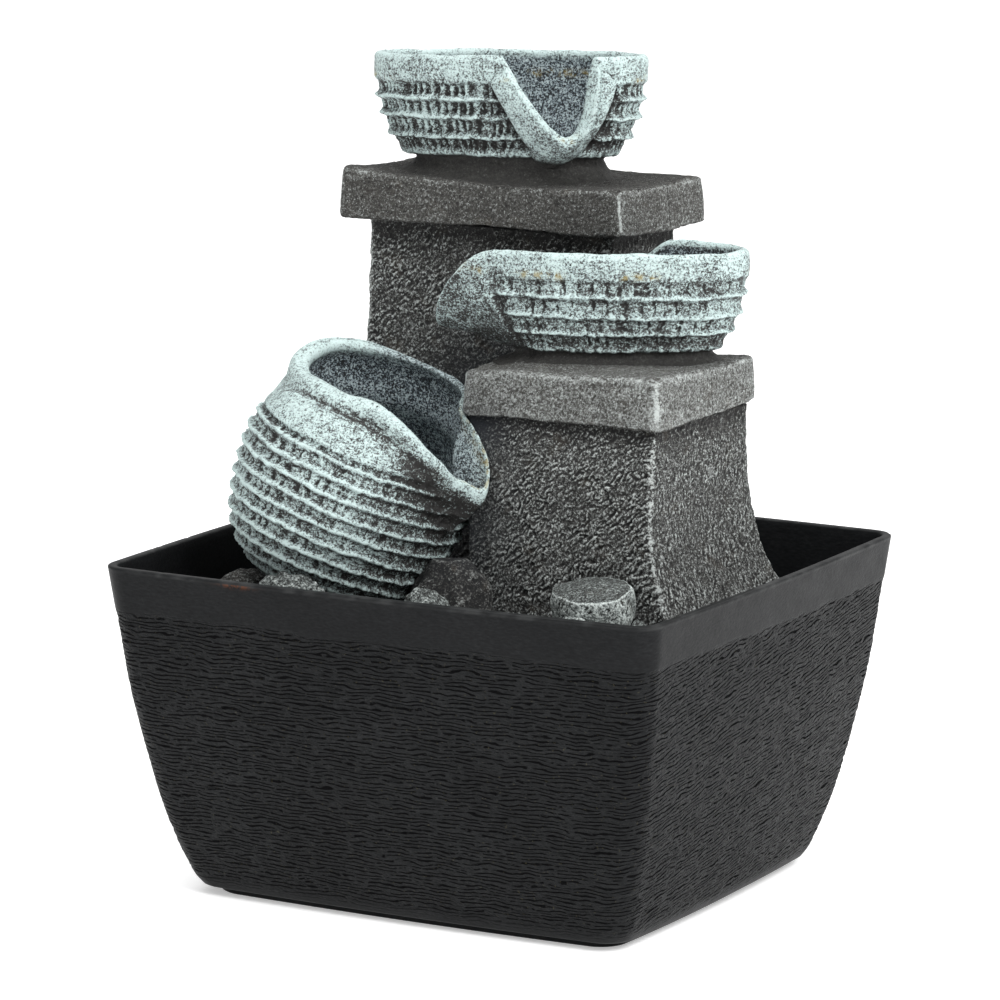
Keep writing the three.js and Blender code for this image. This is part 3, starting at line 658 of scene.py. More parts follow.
def plastic_look(name, colour, lighter, roughness, grain=0.35):
    look = Look(name, roughness=roughness)
    cloud = look.grain(9, 4)
    base = look.mix(look.span(cloud, 0.3, 0.7), colour, lighter)
    scuffs = look.span(look.grain(0.9, 3, 0.7, stretch=(1.0, 0.12, 1.0)), 0.66, 0.8)
    base = look.mix(look.times(scuffs, 0.25), base, lighter)
    rough = look.sum((look.grain(3, 3), 0.2), roughness - 0.1)
    return look.finish(base, rough, look.grain(grain, 2), 0.02)


def metal_look(name, colour, lighter, roughness, stretch, metallic=1.0):
    look = Look(name, roughness=roughness, Metallic=metallic)
    lines = look.grain(0.5, 3, 0.6, stretch=stretch)
    base = look.mix(lines, colour, lighter)
    return look.finish(base, look.sum((lines, 0.25), roughness - 0.1), lines, 0.06)


def vinyl_look():
    look = Look("clear_vinyl", roughness=0.18, Transmission_Weight=0.75, IOR=1.5)
    haze = look.span(look.grain(7, 3), 0.35, 0.75)
    return look.finish(look.mix(haze, srgb(226, 232, 228), srgb(196, 206, 198)), look.sum((haze, 0.25), 0.12))


TUB_PLASTIC = tub_look()
# the colour of the painted shade in the recesses round the jug
RECESS_SHADE_TINT = srgb(34, 38, 44)
STONE = stone_look("stone_resin", srgb(22, 22, 22), srgb(72, 72, 70), srgb(186, 192, 190), RECESS_SHADE_TINT)
SMOOTH_STONE = stone_look(
    "stone_resin_smooth", srgb(24, 23, 22), srgb(72, 71, 68), srgb(186, 192, 190), RECESS_SHADE_TINT, 1.45, 0.62)
ROCK = stone_look("rock_resin", srgb(20, 20, 20), srgb(62, 61, 59), srgb(150, 154, 152), RECESS_SHADE_TINT)
PEBBLE = stone_look(
    "pebble_resin", srgb(30, 30, 29), srgb(110, 116, 114), srgb(205, 213, 210), srgb(60, 72, 76))
PATINA = patina_look()

# ---- Tub ----------------------------------------------------------------------------------


def tub_grid():
    """Rows of the tub's skin: under the plinth, up the outside, over the rim and down the inside."""
    height, plinth, wall, floor = TUB["height"], TUB["plinth"], TUB["wall"], TUB["floor"]
    edge = 0.7  # rounding of the rim's edges
    foot = TUB["plinth_half"]
    low = [(foot - 8, 0.0), (foot - 0.6, 0.0), (foot, 0.5), (foot, plinth - 0.3), (foot + 0.6, plinth)]
    start = TUB["taper"][0][1]
    low += [(start - 0.9, plinth), (start - 0.2, plinth + 0.15)]
    z = np.concatenate([np.linspace(plinth + 0.5, height - edge - 0.3, 176), height - edge + edge * np.sin(
        np.linspace(0, math.pi / 2, 4))])
    share = (z - plinth) / (height - plinth)
    half = curve(TUB["taper"], share)
    half[-4:] -= edge * (1 - np.cos(np.linspace(0, math.pi / 2, 4)))
    inner_z = np.concatenate([height - edge * (1 - np.cos(np.linspace(0, math.pi / 2, 3))),
                              np.linspace(height - 3, floor + 4, 18)])
    inner_half = curve(TUB["taper"], (inner_z - plinth) / (height - plinth)) - wall
    inner_half[:3] += edge * (1 - np.sin(np.linspace(0, math.pi / 2, 3)))
    bottom = [(inner_half[-1] - 1, floor + 1.2), (inner_half[-1] - 3.5, floor), (inner_half[-1] - 30, floor)]
    profile = low + list(zip(half, z)) + list(zip(inner_half, inner_z)) + bottom
    first_inner = len(low) + len(z)
    rows = []
    for k, (h, level) in enumerate(profile):
        inset = max(0.0, np.interp(level, [0, height], [TUB["taper"][0][1], 100]) - h)
        radius = max(TUB["corner"] - (inset if k >= first_inner else 0), 2.5)
        rows.append(at_height(box_outline(h, h - TUB["narrower"], radius, TUB["bow"], (104, 98), 14), level))
    return np.array(rows), len(low), first_inner


def add_tub():
    grid, first, inner = tub_grid()
    z = grid[..., 2]
    height = TUB["height"]
    n = outward(grid)
    wall = np.zeros(z.shape)
    wall[first:inner - 4] = 1
    below = height - TUB["band"] + layered(grid, 9, 2, 5) * 0.9
    bark = smoothstep(0.9, -0.9, z - below) * smoothstep(4, 9, z) * wall
    bent = grid + layered(grid, 7, 2, 3)[..., None] * np.array([0.0, 0.0, 1.1])
    fibres = ridged(bent, (4.2, 4.2, 1.25), 11) * 0.5 + ridged(bent, (2.6, 2.6, 1.0), 12) * 0.35
    worn = smoothstep(-0.75, 0.35, layered(grid, (24, 24, 15), 2, 21))
    deep = smoothstep(0.3, 0.75, noise(bent, (6, 6, 1.3), 31))
    fibres += ridged(bent, (3.4, 3.4, 0.9), 13) * 0.3
    relief = (fibres * 0.3 - deep * 0.26) * (0.35 + 0.65 * worn)
    nicks = smoothstep(0.5, 0.85, noise(grid, (3.2, 3.2, 1.6), 41))
    nicks *= smoothstep(height - 2.4, height - 0.2, z)
    push = bark * (relief - 0.36) - 0.22 * nicks * (n[..., 2] > -0.5)
    moved = grid + n * push[..., None]
    across, along = grid[..., 0], grid[..., 1]
    rear = (np.abs(across) < 12) & (along > 60)
    slot = smoothstep(TUB["notch_half"] + 0.9, TUB["notch_half"] - 0.3, np.abs(across))
    lip = height - TUB["notch_depth"] * slot
    moved[..., 2] = np.where(rear, np.minimum(moved[..., 2], lip), moved[..., 2])
    rim = np.zeros(z.shape)
    rim[inner - 5:inner + 2] = 1
    # painted highlight along the top of the rim, uneven along its length
    edge = rim * (0.1 + 0.35 * smoothstep(-0.2, 0.5, layered(grid, 6, 3, 51)))
    rust = np.exp(-((across + 46) / 5) ** 2 - ((z - 107.4) / 0.9) ** 2) * (along < -60) * wall
    layers = {"relief": 0.5 + bark * relief * 1.9, "band": 1 - bark, "edge": edge, "rust": rust}
    piece = skin("tub", moved, "basin", TUB_PLASTIC, layers)
    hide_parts("basin_tub")


# ---- Pillars and slabs --------------------------------------------------------------------

CORNER = 10  # points round each corner of a pillar or a slab
PILLAR_FOOT = BASE_TOP - 1.5  # the pillars run a little into the base
# places round the jug where shade is painted into the recesses
RECESS_SHADE_SPOTS = [(-6, -24, 118, 20), (-14, 14, 150, 24), (2, -22, 150, 12), (-45, 20, 100, 26)]  # x, y, z, reach


def painted_recess_shade(p):
    """Where shade is painted into the recesses round the jug: the stone is drawn dark and bluish there, and
    smoother.
    """
    total = np.zeros(p.shape[:-1])
    for x, y, z, reach in RECESS_SHADE_SPOTS:
        total += np.exp(-np.sum((p - np.array([x, y, z])) ** 2, -1) / reach ** 2)
    return np.clip(total, 0, 1)


def hewn(p, n):
    """Height of a chiselled stone surface, in mm, at points p with normals n."""
    lumps = layered(p, 17, 2, 61) * 0.55
    slant = p + np.stack([p[..., 2] * 0, p[..., 2] * 0, -0.42 * p[..., 0] + 0.2 * p[..., 1]], -1)
    warp = np.stack([layered(p, 6, 2, s) for s in (71, 72, 73)], -1) * 1.3
    bent = slant + warp
    front = np.clip(-n[..., 1], 0, 1) ** 2
    patch = 0.55 + 0.75 * smoothstep(-0.5, 0.5, layered(p, (15, 15, 9), 2, 80))
    rough = ridged(bent, (3.6, 3.6, 1.9), 81) * 0.32 + ridged(bent, (1.9, 1.9, 1.3), 82) * 0.27
    rough += layered(bent, (1.9, 1.9, 1.3), 2, 87) * 0.3
    upright = ridged(p + warp * 0.6, (2.3, 2.3, 4.4), 83) * 0.3 + ridged(p, (1.5, 1.5, 2.0), 84) * 0.2
    upright += layered(p, (1.6, 1.6, 2.2), 2, 88) * 0.2
    near, second = chips(bent, (6.5, 6.5, 3.6), 85)
    pecks = (smoothstep(0.0, 0.2, second - near) - 1) * 0.3
    return lumps + patch * (front * (rough + pecks) + (1 - front) * upright)


def pillar_outline(spec, z, inset, side, corner=CORNER):
    """A pillar's outline at height z: each face leans out towards the foot in its own way."""
    t = np.clip((spec["top"] - z) / (spec["top"] - BASE_TOP), 0, 1)
    faces = [spec[name] for name in ("right", "left", "front", "rear")]
    right, left, front, rear = (top + (foot - top) * t ** power for top, foot, power in faces)
    half_x, half_y = (right + left) / 2 - inset, (front + rear) / 2 - inset
    outline = box_outline(half_x, half_y, spec["corner"], 0, side, corner)
    outline = outline + np.array([(right - left) / 2, (rear - front) / 2])
    return at_height(rotated(outline, TURN) + np.array(spec["centre"]), z)


def pillar_grid(spec, pitch):
    """Rows up a pillar's outside to its top, and how many points lie along its sides."""
    side = (int((spec["front"][0] + spec["rear"][0]) * 1.1 / pitch),
            int((spec["left"][0] + spec["right"][0]) * 1.1 / pitch))
    heights = np.linspace(PILLAR_FOOT, spec["top"], int((spec["top"] - PILLAR_FOOT) / pitch))
    return np.array([pillar_outline(spec, z, 0, side) for z in heights]), side


def corner_line(side, width):
    """1 along the corners of a pillar's outline, with width in columns."""
    ends = np.cumsum([side[k % 2] + CORNER for k in range(4)]) - CORNER / 2
    column = np.arange(2 * (side[0] + side[1] + 2 * CORNER))
    return np.exp(-(np.min(np.abs(column[:, None] - ends), axis=1) / width) ** 2)


def hewn_skin(grid, top, side):
    """A rough pillar skin and its layers; it is smoother where shade is painted into the recesses round the
    jug.
    """
    n = outward(grid)
    # where shade is painted into the recesses round the jug; the relief is smoothed there too
    recess_shade = painted_recess_shade(grid)
    edge = np.clip(raised(grid, 60) / 0.6, 0, 1)
    height = hewn(grid, n) * (1 - 0.75 * recess_shade) - 0.5
    height -= edge * 0.5 * smoothstep(-0.1, 0.6, layered(grid, 5, 2, 91))  # broken corners
    line = corner_line(side, 3.2)
    edge = line * (0.3 + 0.7 * smoothstep(-0.3, 0.3, layered(grid, (3, 3, 5), 2, 92)))
    height *= smoothstep(0, 2.5, top - grid[..., 2]) * 0.6 + 0.4
    moved = grid + n * height[..., None]
    return moved, edge, recess_shade


def shaded_top(grid, top):
    """Painted shade on a pillar right under its slab."""
    return -0.30 * smoothstep(11, 0, top - grid[..., 2] + 2 * layered(grid, 9, 2, 93))


def wear_and_shade_layers(grid, edge, recess_shade, paleness=0.0):
    """The layers that the stone material reads: what stands up, what is worn, where shade is painted into the
    recesses round the jug, and how pale it is, with painted shade and light in its paleness.
    """
    fine = raised(grid, 2)
    broad = raised(grid, 20)
    return {
        "fine": np.clip(fine / (fine.std() * 1.5), -2, 2),
        "broad": np.clip(broad / (broad.std() * 1.5), -2, 2),
        "edge": edge,
        "recess_shade": recess_shade,
        "pale": paleness + np.zeros(recess_shade.shape),
    }


def cut_by_tall_pillar(piece):
    """Cuts a piece that runs into the tall pillar 2 mm under the pillar's skin."""
    heights = np.linspace(BASE_TOP - 6, TALL["top"] + 30, 16)
    grid = np.array([pillar_outline(TALL, z, 2.0, (12, 12), 3) for z in heights])
    cut(piece, linked("tall_core", plain_mesh("tall_core", with_ends(grid), sewn_faces(*grid.shape[:2]))))


def add_tall_pillar():
    grid, side = pillar_grid(TALL, 0.66)
    moved, edge, recess_shade = hewn_skin(grid, TALL["top"], side)
    inner = np.array([pillar_outline(TALL, z, TALL["wall"], side)
                      for z in np.linspace(TALL["top"], PILLAR_FOOT, 24)])
    inner = inner + outward(inner[::-1])[::-1] * (layered(inner, 9, 3, 95) * 0.4)[..., None]
    whole = np.concatenate([moved, inner])
    layers = wear_and_shade_layers(moved, edge, recess_shade, shaded_top(moved, TALL["top"]) - 0.06)
    blank = np.zeros(inner.shape[:2])
    layers = {k: np.concatenate([v, blank]) for k, v in layers.items()}
    pillar = skin("tall_pillar_cast", whole, "sculpture", STONE, layers, looped=True)
    cover = skin("back_cover_cast", whole, "rear_hatch", STONE, layers, looped=True)
    (x0, x1), (z0, z1) = WINDOW["x"], WINDOW["z"]
    gap = 0.3  # around the panel
    near, far = 50, 120  # from inside the pillar to well behind it
    cut(pillar, block("window", (x0, near, z0), (x1, far, z1)))
    cut(cover, block("panel", (x0 + gap, near, z0 + gap), (x1 - gap, far, z1 - gap)), "INTERSECT")
    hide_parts("tall_pillar")
    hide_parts("back_cover")


def add_low_pillar():
    grid, side = pillar_grid(LOW, 0.52)
    moved, edge, recess_shade = hewn_skin(grid, LOW["top"], side)
    centre = np.array(LOW["centre"])
    lid = np.array([at_height(moved[-1, :, :2] * k + centre * (1 - k), LOW["top"] - 0.02)
                    for k in (0.7, 0.3)])
    under = [pillar_outline(LOW, z, LOW["wall"], side) for z in (150.0, 130.0, 110.0, PILLAR_FOOT)]
    under.insert(0, at_height(under[0][:, :2] * 0.4 + centre * 0.6, 150.5))  # the hollow's ceiling
    whole = np.concatenate([np.array(under), moved, lid])
    layers = wear_and_shade_layers(moved, edge, recess_shade, shaded_top(moved, LOW["top"]))
    below, above = (np.zeros((len(rows), moved.shape[1])) for rows in (under, lid))
    layers = {k: np.concatenate([below, v, above]) for k, v in layers.items()}
    pillar = skin("low_pillar_cast", whole, "sculpture", STONE, layers)
    cut_by_tall_pillar(pillar)
    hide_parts("low_pillar")


def slab_grid(spec, pitch):
    """Rows of a slab from the middle of its underside, round its edges, to the middle of its top."""
    (half_x, half_y), (low, high) = spec["half"], spec["z"]
    soft = 1.4  # rounding of the edges
    side = (int(half_y * 2 / pitch), int(half_x * 2 / pitch))
    quarter = np.linspace(0, math.pi / 2, 6)[1:-1]
    profile = [(i, low) for i in (half_y - 1, half_y - 6, 12, 8, 6, 4.5, 3.4, soft)]
    profile += [(soft * (1 - math.sin(a)), low + soft * (1 - math.cos(a))) for a in quarter]
    profile += [(0, z) for z in np.arange(low + soft, high - soft + 0.01, pitch)]
    profile += [(soft * (1 - math.cos(a)), high - soft * (1 - math.sin(a))) for a in quarter]
    profile += [(i, high) for i in np.arange(soft, half_y - 0.8, pitch)]
    rows = []
    for inset, z in profile:
        radius = min(spec["corner"], half_y - inset - 0.05)
        rows.append(at_height(box_outline(half_x - inset, half_y - inset, radius, 0, side, CORNER), z))
    return np.array(rows)


def slab_relief(grid, n, from_seam, edge, seed):
    """Height of a slab's skin in mm: trowelled and pored, with broken edges and a mould seam."""
    waves = layered(grid, 30, 3, seed) * 0.6
    trowel = layered(grid, (7, 7, 3.5), 3, seed + 1) * 0.13
    pores = smoothstep(0.45, 0.8, noise(grid, 1.5, seed + 2)) * 0.2
    grit = layered(grid, 1.4, 2, seed + 3) * 0.09
    chipped = edge * smoothstep(0.1, 0.7, layered(grid, 4, 2, seed + 4)) * 0.6
    seam = np.exp(-(from_seam / 0.4) ** 2) * 0.25 * (n[..., 2] > -0.5)
    return waves + trowel - pores + grit - chipped - seam - 0.35


def slab_layers(spec, local, grid, moved, n, edge, seed):
    """A slab's layers: worn along its corners and brink, darker on top, with painted shade underneath and
    painted light on the sides that face right.
    """
    broken = smoothstep(0.0, 0.5, layered(grid, 5, 3, seed + 5))
    # darker on the top faces, and painted shade on the faces that look down
    dark_top_and_shade_under = 0.13 * smoothstep(0.5, 0.9, n[..., 2]) + 0.2 * smoothstep(-0.3, -0.8, n[..., 2])
    beside = np.array(spec["half"]) - np.abs(local[..., :2])  # distance to the sides
    corner = np.exp(-(np.maximum(beside.sum(-1) - 0.586 * spec["corner"], 0) / 0.16) ** 2)
    brink = np.exp(-((np.maximum(spec["z"][1] - local[..., 2], 0) + beside.min(-1)) / 1.3) ** 2)
    worn = np.clip(corner * (0.4 + 0.6 * broken) + 0.35 * brink * broken, 0, 1)
    # painted light: the sides that face right are drawn paler, as if lit
    lit = spec["right_side_light"] * smoothstep(0.5, 0.9, n[..., 0])
    # painted shade in the recesses round the jug, at half strength on the slabs
    layers = wear_and_shade_layers(moved, worn, painted_recess_shade(grid) * 0.5, spec["paleness"] + lit - dark_top_and_shade_under)
    for layer in ("fine", "broad"):
        layers[layer] = layers[layer] * (1 - 0.8 * edge)
    return layers


def add_slab(name, node, spec, seed):
    local = slab_grid(spec, 0.58)
    low, high = spec["z"]
    share = (local[..., 2] - low) / (high - low)
    for across, along, reach, top_lift, bottom_lift in spec["dents"]:
        distance = (local[..., 0] - across) ** 2 + (local[..., 1] - along) ** 2
        local[..., 2] += (top_lift * share + bottom_lift * (1 - share)) * np.exp(-distance / reach ** 2)
    spread = 1 + 0.03 * (1 - share[..., None])  # the sides lean out downwards
    grid = at_height(rotated(local[..., :2] * spread, TURN) + np.array(spec["centre"]), local[..., 2])
    n = outward(grid)
    edge = np.clip(raised(grid, 30) / 0.7, 0, 1) ** 1.5
    height = slab_relief(grid, n, local[..., 1] - 3.0, edge, seed)
    moved = grid + n * height[..., None]
    layers = slab_layers(spec, local, grid, moved, n, edge, seed)
    slab = skin(name, moved, "sculpture", SMOOTH_STONE, layers)
    if node == "low_slab":
        cut_by_tall_pillar(slab)
    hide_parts(node)


# ---- Bowls --------------------------------------------------------------------------------


def lip_line(along, k):
    """Where lip k takes its noise: far from the other lips, so that each winds in its own way."""
    return np.stack([along, np.full(along.shape, 40.0 * k), np.zeros(along.shape)], -1)


def channels(level, boundaries, along, seed):
    """Hollows between wavy lips. Returns how hollow each point is from 0 to 1, how close it is to a lip,
    which hollow it lies in and how close under a lip it lies. Boundaries go downwards, from the smooth
    band's edge through each lip."""
    hollow, lip, number, under = (np.zeros(level.shape) for _ in range(4))
    for k in range(len(boundaries) - 1):
        upper = boundaries[k] + 0.5 * layered(lip_line(along, k), 7, 3, seed)
        line = lip_line(along, k + 1)
        lower = boundaries[k + 1] + 0.5 * layered(line, 7, 3, seed)
        nick = smoothstep(0.2, 0.8, noise(line, 2.1, seed + 1)) * 0.5
        u = (upper - level) / (upper - lower + nick)
        inside = (u > 0) & (u <= 1)
        hollow = np.where(inside, smoothstep(0, 0.3, u) * smoothstep(1, 0.66, u), hollow)
        number = np.where(inside, k + 1, number)
        under = np.where(inside, np.exp(-((u - 0.12) / 0.16) ** 2), under)
        worn = 1 - 0.85 * smoothstep(-0.1, 0.6, layered(line, 3.0, 3, seed + 2))
        lip = np.maximum(lip, np.exp(-((level - lower) / 0.72) ** 2) * worn)
    return hollow, lip, number, under


def pads(points, along, number, pitch, share, seed):
    """1 on the worn pads that stand between ragged pockets in a hollow, spaced by about pitch mm."""
    p = np.stack([along, number * 31.0, np.zeros(along.shape)], -1)
    phase = along / pitch + 0.9 * noise(p, pitch * 2.1, seed) + number * 0.37
    from_middle = np.abs(phase - np.round(phase)) * 2
    wide = share + 0.35 * noise(p, pitch * 1.7, seed + 1)
    ragged = 0.38 * layered(points, 1.6, 3, seed + 2)
    return smoothstep(wide + 0.22, wide - 0.22, from_middle + ragged)


def bowl_rim(spec, columns):
    """For each column: its outline point, place along the rim, spout depth and reach from 0 to 1, and the
    step to the next column."""
    spout = spec["spout"]
    angle = np.arange(columns) / columns * TAU
    power = 2 / spec["squareness"]
    unit = np.stack([np.sign(np.cos(angle)) * np.abs(np.cos(angle)) ** power,
                     np.sign(np.sin(angle)) * np.abs(np.sin(angle)) ** power], -1)
    rim = unit * np.array(spec["rim"])
    steps = np.linalg.norm(np.roll(rim, -1, 0) - rim, axis=-1)
    arc = np.concatenate([[0], np.cumsum(steps)[:-1]])
    total = steps.sum()
    middle = np.interp(spout["at"] % TAU, angle, arc)
    off = (arc - middle + total / 2) % total - total / 2
    before, after = spout["half"]
    steep = np.where(off < 0, 1.7, spout["steep"])
    off = np.where(off < 0, -off / before, off / after)
    out = (1 - np.clip(off, 0, 1) ** steep) ** 1.3
    return rim, arc, out ** spout["fall"], out, np.maximum(steps, 0.05)


def bowl_grid(spec, columns, pitch):
    """The bowl's skin before its relief, with each point's place along the rim, distance from the rim's
    edge, kind of row (0 outside, 1 edge, 2 inside), spout depth, and spout depth at the nearest edge."""
    spout = spec["spout"]
    rim, arc, dip, out, steps = bowl_rim(spec, columns)
    flat = np.stack([arc, arc * 0, arc * 0], -1)
    angle = np.arange(columns) / columns * TAU
    behind = smoothstep(1.2, 1.5, angle) * smoothstep(2.75, 2.3, angle)  # where it runs into the pillar
    lip = spec["high"] - spout["drop"] * dip - spout["sink"] * behind + 0.35 * layered(flat, 22, 2, 7)
    roll = 1.7 + (spout["roll"] - 1.7) * smoothstep(0.0, 0.25, dip)  # half the thickness of the edge
    crest = lip - roll
    low, floor = spec["low"], spec["floor"]
    outer = np.linspace(0, 1, int((spec["high"] - low) / pitch))
    turn = np.linspace(0, math.pi, 9)[1:-1]
    inner = np.linspace(1, 0, 34)
    length = np.linalg.norm(rim, axis=-1)
    radial = rim / length[:, None]
    toward = radial[np.argmax(dip)] if spout["along"] else radial

    def ring(z, inset):
        share = np.clip((z - low) / (crest - low), 0, 1.2)
        size = curve(spec["profile"], np.minimum(z, spec["high"]))
        xy = radial * (length * size - inset)[:, None]
        return at_height(xy + toward * (spout["reach"] * out * share ** 2)[:, None], z)

    rows = [ring(low + (crest - low) * u, 0) for u in outer]
    rows += [ring(crest, roll * (1 - math.cos(a))) + np.stack([roll * 0, roll * 0, roll * math.sin(a)], -1)
             for a in turn]
    rows += [ring(floor + (crest - floor) * u, 2 * roll + 0.8 * (1 - u)) for u in inner]
    last = rows[-1]
    for k in (0.75, 0.5, 0.25, 0.08):
        rows.append(last * np.array([k, k, 1]) - np.array([0, 0, 1.2 * (1 - k)]))
    kind = np.concatenate([np.zeros(len(outer)), np.full(len(turn), 1), np.full(len(inner) + 4, 2)])
    grid = np.array(rows)
    edge, near = nearest_edge(grid[..., 2], crest, dip, arc, steps.sum())
    return grid, np.broadcast_to(arc, grid.shape[:2]), edge, kind, np.broadcast_to(dip, grid.shape[:2]), near


def nearest_edge(z, crest, dip, arc, around):
    """How far each point is from the rim's edge along the skin, and the spout's depth where that is.
    It looks at the edge above the point and at so many columns to either side."""
    columns = 45
    edge = crest[None, :] - z
    near = np.broadcast_to(dip, z.shape).copy()
    for step in range(1, columns + 1):
        for shift in (step, -step):
            gap = np.abs(np.roll(arc, shift) - arc)
            gap = np.minimum(gap, around - gap)
            distance = np.hypot(gap[None, :], np.roll(crest, shift)[None, :] - z)
            near = np.where(distance < edge, np.roll(dip, shift)[None, :], near)
            edge = np.minimum(edge, distance)
    return edge, near


def spout_marks(spec, dip, near, edge, outside, above_foot):
    """Where the wall is clear of the spout, where a crease runs along the spout, and where the spout is."""
    spout = spec["spout"]
    if spout["along"]:
        in_spout = smoothstep(0.02, 0.14, dip)
        clear = outside * (1 - smoothstep(0.01, 0.06, dip))
        crease = outside * np.exp(-((dip - 0.05) / 0.035) ** 2) * smoothstep(2, 7, edge)
    else:
        in_spout = smoothstep(0.02, 0.14, near)
        clear = outside * (1 - in_spout * smoothstep(spout["rope"] + 2.0, spout["rope"], edge))
        crease = outside * in_spout * np.exp(-((edge - spout["rope"] - 1.2) / 1.2) ** 2) * 0.7 * above_foot
    return clear, crease, in_spout


def bowl_relief(spec, local, at, seed):
    """How far each point of a bowl's skin is pushed out, in mm."""
    spout = spec["spout"]
    relief = at.clear * (0.8 * at.lip - spec["channel"] * at.hollow * (1 - 0.45 * at.pad))
    lump = np.sqrt(np.clip(1 - ((at.edge - spout["rope"] / 2) / (spout["rope"] / 2 + 0.6)) ** 2, 0, 1))
    relief += at.outside * at.in_spout * lump * spout["proud"] - at.crease
    rough = layered(local, 14, 2, seed + 5) * 0.35 + layered(local, 3.2, 2, seed + 6) * 0.16
    rough += layered(local, 1.7, 2, seed + 10) * 0.3 * at.clear * (at.hollow + at.lip)
    dents = smoothstep(0.45, 0.8, noise(local, 1.4, seed + 7)) * 0.3
    return relief + rough - dents


def bowl_paint(spec, local, moved, at, seed):
    """How much paint is left on a bowl's outside: less in the hollows and the lower half. Painted shade
    darkens it under each lip, in the crease along the spout, under the spout's rolled edge, over the spout's
    outside and in the bowl's inside.
    """
    spout, z = spec["spout"], local[..., 2]
    standing = np.clip(raised(moved, 8) / 0.35, -1.2, 1.0)
    murk = spec["murk"] * (0.8 + 0.7 * layered(local, 6, 2, seed + 11))
    murk = murk * (1 - 0.7 * smoothstep(0.0, 0.08, at.dip))
    # painted shade just under each lip
    shade_under_lips = 0.28 * at.under * (0.7 + 0.9 * layered(local, 3, 2, seed + 12)) * at.clear
    paint = 0.60 + 0.37 * standing + at.clear * (0.16 * at.lip - murk * at.hollow * (1 - 0.8 * at.pad))
    paint += layered(local, 10, 3, seed + 8) * 0.2 - shade_under_lips
    low_half = smoothstep(spec["lips"][1], spec["lips"][3], z) * 0.3 * at.outside
    # painted shade in the crease along the spout, over the spout's outside and in the bowl's inside
    shaded = 0.55 * at.crease + at.in_spout * spout["spout_shade"] * at.outside + at.inside * spout["inside_shade"]
    if not spout["along"]:
        # painted shade under the spout's rolled edge
        under_rope = at.in_spout * smoothstep(spout["rope"], spout["rope"] + 2, at.edge)
        shaded += under_rope * 0.25 * at.outside * at.above_foot
    return np.clip(paint - low_half - shaded, -1.5, 1.1)


def bowl_stain(spec, local, at, seed):
    """Ochre patches right under the smooth band, and where water pours over the spout."""
    under_band = np.exp(-((local[..., 2] - spec["band"] - 0.9) / 1.1) ** 2)
    patches = smoothstep(0.1, 0.5, noise(local, (11, 11, 9), seed + 9))
    pour = np.exp(-((at.edge - 1.0) / 2.5) ** 2) * smoothstep(0.9, 0.98, at.dip) * (at.kind > 0)[:, None]
    return np.clip(under_band * patches + pour, 0, 1)


def add_bowl(name, node, spec, columns, seed):
    local, arc, edge, kind, dip, near = bowl_grid(spec, columns, 0.3)
    z = local[..., 2]
    at = SimpleNamespace(edge=edge, kind=kind, dip=dip)  # what is known about each point
    at.outside = ((kind == 0)[:, None] & np.ones(z.shape, bool)).astype(float)
    bounds = (spec["band"],) + spec["lips"]
    wavy = z + 0.2 * layered(local, 12, 2, seed)
    at.hollow, at.lip, number, at.under = channels(wavy, bounds, arc, seed)
    at.pad = pads(local, arc, number, spec["pad_pitch"], spec["pad_share"], seed + 3)
    at.above_foot = smoothstep(spec["lips"][-1] - 0.5, spec["lips"][-1] + 2.5, z)
    at.clear, at.crease, at.in_spout = spout_marks(spec, dip, near, edge, at.outside, at.above_foot)
    floor_shine = smoothstep(0.0, 0.3, dip) * smoothstep(26, 12, edge) * 0.8
    at.inside = (kind == 2)[:, None] * smoothstep(-0.5, 2.0, edge) * (1 - floor_shine)
    moved = local + outward(local) * bowl_relief(spec, local, at, seed)[..., None]
    tilt = spec["tilt"][0] * moved[..., 0] + spec["tilt"][1] * moved[..., 1]
    moved[..., 2] += tilt * smoothstep(spec["low"], spec["low"] + 8, z)
    layers = {
        "paint": bowl_paint(spec, local, moved, at, seed),
        "inside": at.inside,
        "foot": at.outside * smoothstep(spec["lips"][-1] + 0.1, spec["lips"][-1] - 1.2, z),
        "stain": bowl_stain(spec, local, at, seed),
    }
    world = at_height(rotated(moved[..., :2], spec["turn"]) + np.array(spec["centre"]), moved[..., 2])
    bowl = skin(name, world, "sculpture", PATINA, layers)
    if node == "middle_bowl":
        cut_by_tall_pillar(bowl)
    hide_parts(node)


# ---- Jug ----------------------------------------------------------------------------------


def jug_frame():
    up = JUG["axis"] / np.linalg.norm(JUG["axis"])
    right = np.array([1.0, 0, 0]) - up[0] * up
    right /= np.linalg.norm(right)
    return right, np.cross(up, right), up


def jug_rim(turn):
    """The mouth's height angle and distance, in radians and mm, at each turn about the axis."""
    deg = math.radians
    points = [(deg(a), deg(b), r) for a, b, r in JUG["mouth"]]
    before = [(a - TAU, b, r) for a, b, r in points[-3:]]
    points = before + points + [(a + TAU, b, r) for a, b, r in points[:3]]
    heights = curve([(a, b) for a, b, _ in points], turn)
    return heights, curve([(a, r) for a, _, r in points], turn)


